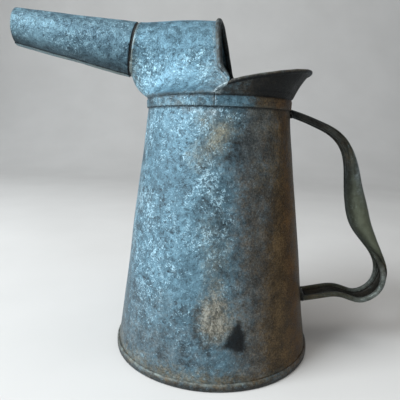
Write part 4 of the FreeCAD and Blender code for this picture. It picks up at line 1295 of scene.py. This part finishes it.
def make_handle():
    """Pressed strap with rolled edges; at the grip it closes round into an oval and the rolls come together."""
    H = np.array(HANDLE_LINE)
    s = np.r_[0, np.cumsum(np.hypot(np.diff(H[:, 0]), np.diff(H[:, 1])))]
    at = np.linspace(0, s[-1], 270)
    x, z, c, w = (natural_spline(s, H[:, k], at) for k in range(4))
    c = c - 0.13
    wide = np.interp(at, s, H[:, 4])
    close = np.interp(at, s, H[:, 5])
    for _ in range(40):
        for q in (wide, close):
            q[1:-1] = 0.25 * q[:-2] + 0.5 * q[1:-1] + 0.25 * q[2:]
    # keep only what stands off the wall, plus a little to bed in the solder
    keep = x - wall_radius(z) > -0.45
    x, z, c, w, at, wide, close = (q[keep] for q in (x, z, c, w, at, wide, close))
    tx, tz = np.gradient(x, at), np.gradient(z, at)
    tl = np.hypot(tx, tz)
    nx, nz = -tz / tl, tx / tl
    gauge, rr = 0.7, 1.44
    rows = []
    tags = None

    def even(q, count):
        d = np.r_[0, np.cumsum(np.linalg.norm(np.diff(q, axis=0), axis=1))]
        u = np.linspace(0, d[-1], count)
        return np.stack([np.interp(u, d, q[:, k]) for k in range(2)], -1)

    for i in range(len(x)):
        psi = 180.0 - 245.0 * close[i]
        sy = w[i] + rr * math.cos(math.radians(psi))
        sn = rr * math.sin(math.radians(psi))
        A = max(wide[i], sy)
        k = math.sqrt(max(0.0, 1 - (sy / A) ** 2))
        mid = (sn + k * c[i]) / (1 + k)
        first = -math.asin(k)
        f = np.linspace(first, math.pi - first, 91)
        outer = np.stack([A * np.cos(f), mid + (c[i] - mid) * np.sin(f)], -1)
        inner = np.stack([(A - gauge) * np.cos(f), mid + (c[i] - mid - gauge) * np.sin(f)], -1)[::-1]
        # rolled edge on the +Y side: from where the inside of the sheet meets it, round to where the outside does
        def clear(q, r):
            return q[np.hypot(np.abs(q[:, 0]) - w[i], q[:, 1]) > r]

        outer, inner = clear(outer, rr * 1.01), clear(inner, rr * 1.03)
        a_out = math.degrees(math.atan2(outer[0, 1], outer[0, 0] - w[i]))
        a_in = math.degrees(math.atan2(inner[-1, 1], inner[-1, 0] - w[i]))
        if a_in < a_out:
            a_in += 360.0
        turn = np.radians(np.linspace(a_in, a_out + 360.0, 24))
        right = np.stack([w[i] + rr * np.cos(turn), rr * np.sin(turn)], -1)
        left = right[::-1] * np.array([-1.0, 1.0])
        cr, nn = even(outer, 61), even(inner, 57)
        prof = np.concatenate([right, cr, left, nn])
        y, n = prof[:, 0], prof[:, 1]
        rows.append(np.stack([x[i] + nx[i] * n, y, z[i] + nz[i] * n], -1))
        if tags is None:
            tags = np.concatenate([np.zeros(len(right)), np.ones(len(cr)), np.zeros(len(left)), np.full(len(nn), 2.0)])
            side = np.concatenate([np.ones(len(right)), np.abs(np.linspace(-1, 1, len(cr))), np.ones(len(left)), np.zeros(len(nn))])
    grid = np.array(rows)
    wob = 0.05 * waves(grid, 20, 91) + 0.015 * waves(grid, 8, 92)
    mid = smooth(0, 0.06, np.linspace(0, 1, len(grid))) * smooth(1, 0.94, np.linspace(0, 1, len(grid)))
    grid[..., 0] += wob * mid[:, None] * nx[:, None]
    grid[..., 2] += wob * mid[:, None] * nz[:, None]
    rws, cols = grid.shape[:2]
    v = grid.reshape(-1, 3)
    f = loft_faces(rws, cols, wrap_cols=True)
    f += [tuple(range(cols)), tuple(range((rws - 1) * cols, rws * cols))[::-1]]
    a = blank(len(v))
    S = np.repeat((at - at[0]) / (at[-1] - at[0]), cols)
    Tg = np.tile(tags, rws)
    grip = smooth(0.17, 0.36, S) * smooth(0.66, 0.54, S)
    # painted highlight: a cool bluish strip along the upper part of the grip
    side = np.tile(side, rws)
    painted_highlight = np.exp(-(((side - 0.43) / 0.17) ** 2)) * (Tg == 1) * smooth(0.13, 0.24, S) * smooth(0.47, 0.34, S)
    low_grip = smooth(0.27, 0.45, S) * smooth(0.68, 0.56, S)
    low_arm = smooth(0.60, 0.72, S)
    a["fleck"][:] = 0.25
    a["polish"][:] = (Tg == 1) * np.clip(0.20 * grip + 0.68 * low_grip + 0.05, 0, 1) + (Tg == 0) * (0.20 * low_arm + 0.25 * low_grip)
    # painted shade: the paler grip fades towards the tube's edges
    a["polish"][:] *= 1 - 0.55 * (Tg == 1) * smooth(0.58, 0.92, side)
    # lighter rolled edges on the lower arm: partly wear, partly painted highlight
    a["wear"][:] = np.clip((Tg == 0) * (0.12 + 0.30 * low_arm * smooth(0.90, 0.78, S)) * (1 - grip), 0, 1)
    # the solder layer here carries painted highlights: the grip's bluish strip and the lower arm's rolled edges
    a["solder"][:] = 0.80 * painted_highlight + 0.42 * (Tg == 0) * low_arm * smooth(0.88, 0.78, S)
    # painted shade: dark inside face of the strap, at both feet where it meets the wall, and on the rolls along the
    # grip; darker along the upper arm too
    a["soot"][:] = 0.50 * (Tg == 2) + 0.6 * smooth(0.05, 0.0, S) + 0.75 * smooth(0.955, 1.0, S) + 0.60 * smooth(0.26, 0.08, S) + 0.35 * (Tg == 0) * grip
    # painted shade: darker towards the tube's edges on the grip
    a["soot"][:] += 0.34 * (Tg == 1) * grip * smooth(0.62, 0.95, side)
    a["brown"][:] = 0.30 * (1 - grip) + 0.3 * smooth(0.9, 1.0, S)
    ob = build(
        "handle_pressing",
        v,
        f,
        "can",
        HANDLE,
        ("handle_strap", "handle_edge_rolls"),
        attrs=a,
    )
    return sharp(outward(ob), 60)


# ================================================================ solder
def blob(name, centre, radii, body, nodes, seed, rot=0.0, rough=0.16, squash=None):
    bm = bmesh.new()
    bmesh.ops.create_icosphere(bm, subdivisions=5, radius=1.0)
    p = np.array([v.co for v in bm.verts])
    q = p * (1 + rough * waves(p * 10, 7.0, seed) + 0.4 * rough * waves(p * 10, 2.6, seed + 1))[:, None]
    q = q * np.array(radii)
    q = rotz(q, rot) + np.array(centre)
    if squash is not None:
        q = squash(q)
    f = [tuple(v.index for v in face.verts) for face in bm.faces]
    bm.free()
    return q, f


def make_solders():
    # where hood and lip meet, both sides: a low fillet run down into the crease
    parts_v, parts_f, base = [], [], 0
    for k, (side, seed) in enumerate(((-1, 101), (1, 105))):
        az = seam_angles()[k]
        er, ez = lip_edge(np.array([az - side * 8.5, az - side * 4.5]))
        a1, a2 = math.radians(az - side * 8.5), math.radians(az - side * 4.5)
        p0 = np.array([er[0] * math.cos(a1) - 0.3, er[0] * math.sin(a1), ez[0] + 0.1])
        p1 = np.array([er[1] * math.cos(a2) - 0.5, er[1] * math.sin(a2), ez[1] - 0.2])
        a3 = math.radians(az)
        p2 = np.array([40.7 * math.cos(a3) - 0.3, 40.7 * math.sin(a3), 143.9])
        path = resample(np.array([p0, p1, p2]), 40, 12)
        u = np.linspace(0, 1, len(path))
        rad = (0.40 + 0.62 * np.sin(math.pi * np.clip(u * 0.9 + 0.08, 0, 1)) ** 0.8) * (1 + 0.08 * waves(path, 6, seed))
        q, f = tube(path, rad, 24, seed, 0.04)
        parts_v.append(q)
        parts_f += [tuple(i + base for i in t) for t in f]
        base += len(q)
    ob = build("joint_solder", np.concatenate(parts_v), parts_f, "can", SOLDER, ("hood_lip_solder",))
    outward(ob)
    q, f = blob("", (39.6, 0, 135.6), (1.7, 7.6, 2.3), "can", (), 111)
    up = build("upper_foot_solder", q, f, "can", HANDLE_SOLDER, ("handle_upper_solder",))
    outward(up)
    q, f = blob("", (52.95, 0, 30.4), (1.5, 8.9, 2.6), "can", (), 115)
    lo = build("lower_foot_solder", q, f, "can", HANDLE_SOLDER, ("handle_lower_solder",))
    outward(lo)


# near-black sleeve inside the mouth: painted shade
SLEEVE = zinc(
    "sleeve_painted_shade",
    pit=(0.006, 0.006, 0.006),
    dark=(0.010, 0.010, 0.010),
    mid=(0.016, 0.017, 0.017),
    light=(0.030, 0.032, 0.032),
    fleck_color=(0.06, 0.065, 0.065),
    fleck_amount=0.2,
    metal=0.3,
    shift=(5.9, 2.1, 1.4),
)
# dark solder at the handle's feet: its darkness is partly painted shade where the handle meets the wall
HANDLE_SOLDER = zinc(
    "foot_solder_with_painted_shade",
    pit=(0.014, 0.015, 0.015),
    dark=(0.030, 0.032, 0.031),
    mid=(0.055, 0.058, 0.055),
    light=(0.10, 0.105, 0.10),
    fleck_color=(0.20, 0.21, 0.20),
    fleck_amount=0.2,
    metal=0.4,
    shift=(4.9, 1.1, 0.4),
)

make_body()
make_base()
make_hood()
make_hood_roll()
make_lip()
make_lip_roll()
make_spout()
make_handle()
make_solders()

# inner pieces that keep their own shape
for node, mat in {
    "nozzle_sleeve": SLEEVE,
    "lip_rim_wire": WIRE,
    "handle_edge_wires": WIRE,
    "base_solder": SOLDER,
    "collar_solder": SOLDER,
}.items():
    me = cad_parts[node].data
    me.materials.clear()
    me.materials.append(mat)

# ================================================================ floor, light and camera
floor_t = Tree("pale_floor")
fl = floor_t.noise(9.0, 3.0, 0.5)
floor_t.link(floor_t.ramp(fl, (0.3, (0.61, 0.60, 0.585)), (0.7, (0.65, 0.64, 0.625))), floor_t.bsdf.inputs["Base Color"])
floor_t.bsdf.inputs["Roughness"].default_value = 0.65
floor_t.bsdf.inputs["Specular IOR Level"].default_value = 0.25
prof = [(-2.2, 0.0), (0.75, 0.0)]
for k in range(1, 13):
    a = math.radians(90 * k / 12)
    prof.append((0.75 + 0.55 * math.sin(a), 0.55 * (1 - math.cos(a))))
prof.append((1.3, 2.6))
fv, ff = [], []
for i, (y, z) in enumerate(prof):
    fv += [(-3.0, y, z), (3.0, y, z)]
    if i:
        ff.append((2 * i - 2, 2 * i - 1, 2 * i + 1, 2 * i))
fm = bpy.data.meshes.new("studio_floor")
fm.from_pydata(fv, [], ff)
fm.polygons.foreach_set("use_smooth", [True] * len(fm.polygons))
fm.materials.append(floor_t.mat)
floor = bpy.data.objects.new("studio_floor", fm)
scene.collection.objects.link(floor)


def area_light(name, place, aim, size, power, color, size_y=None):
    d = bpy.data.lights.new(name, "AREA")
    d.energy, d.color = power, color
    d.shape = "RECTANGLE"
    d.size, d.size_y = size, size_y or size
    o = bpy.data.objects.new(name, d)
    o.location = place
    o.rotation_euler = (Vector(aim) - Vector(place)).to_track_quat("-Z", "Y").to_euler()
    scene.collection.objects.link(o)
    return o


area_light("key_left", (-0.82, -0.56, 0.72), (0, 0, 0.11), 0.7, 22.5, (0.90, 0.96, 1.0), 0.8)
area_light("left_fill", (-0.95, -0.08, 0.34), (0, 0, 0.11), 0.7, 3.0, (0.90, 0.96, 1.0))
area_light("top_fill", (0.05, -0.20, 1.15), (0, 0, 0.08), 0.9, 4.2, (1.0, 0.98, 0.95))
area_light("right_fill", (0.9, -0.35, 0.45), (0.05, 0, 0.08), 0.6, 0.8, (1.0, 0.93, 0.84))

world = bpy.data.worlds.new("studio")
scene.world = world
world.use_nodes = True
bg = world.node_tree.nodes["Background"]
bg.inputs["Color"].default_value = (0.92, 0.95, 1.0, 1.0)
bg.inputs["Strength"].default_value = 0.16

scene.view_settings.view_transform = "Standard"
scene.view_settings.look = "None"
scene.view_settings.exposure = 0.0

PHI = 2.0
yaw, pitch, roll, focal = -0.0392, 0.1712, 0.0278, 402.28
fw = np.array([math.sin(yaw) * math.cos(pitch), math.cos(yaw) * math.cos(pitch), -math.sin(pitch)])
rt = np.array([math.cos(yaw), -math.sin(yaw), 0.0])
up = np.cross(rt, fw)
r2 = math.cos(roll) * rt + math.sin(roll) * up
u2 = -math.sin(roll) * rt + math.cos(roll) * up
eye = rotz(np.array([0.0, -234.23, 125.67]), PHI) * MM
fw, r2, u2 = rotz(fw, PHI), rotz(r2, PHI), rotz(u2, PHI)
cam_data = bpy.data.cameras.new("camera")
cam_data.sensor_width = 36.0
cam_data.lens = focal * 36.0 / 400.0
cam_data.clip_start = 0.01
cam = bpy.data.objects.new("camera", cam_data)
m = Matrix.Identity(4)
for i in range(3):
    m[i][0], m[i][1], m[i][2], m[i][3] = r2[i], u2[i], -fw[i], eye[i]
cam.matrix_world = m
scene.collection.objects.link(cam)
scene.camera = cam
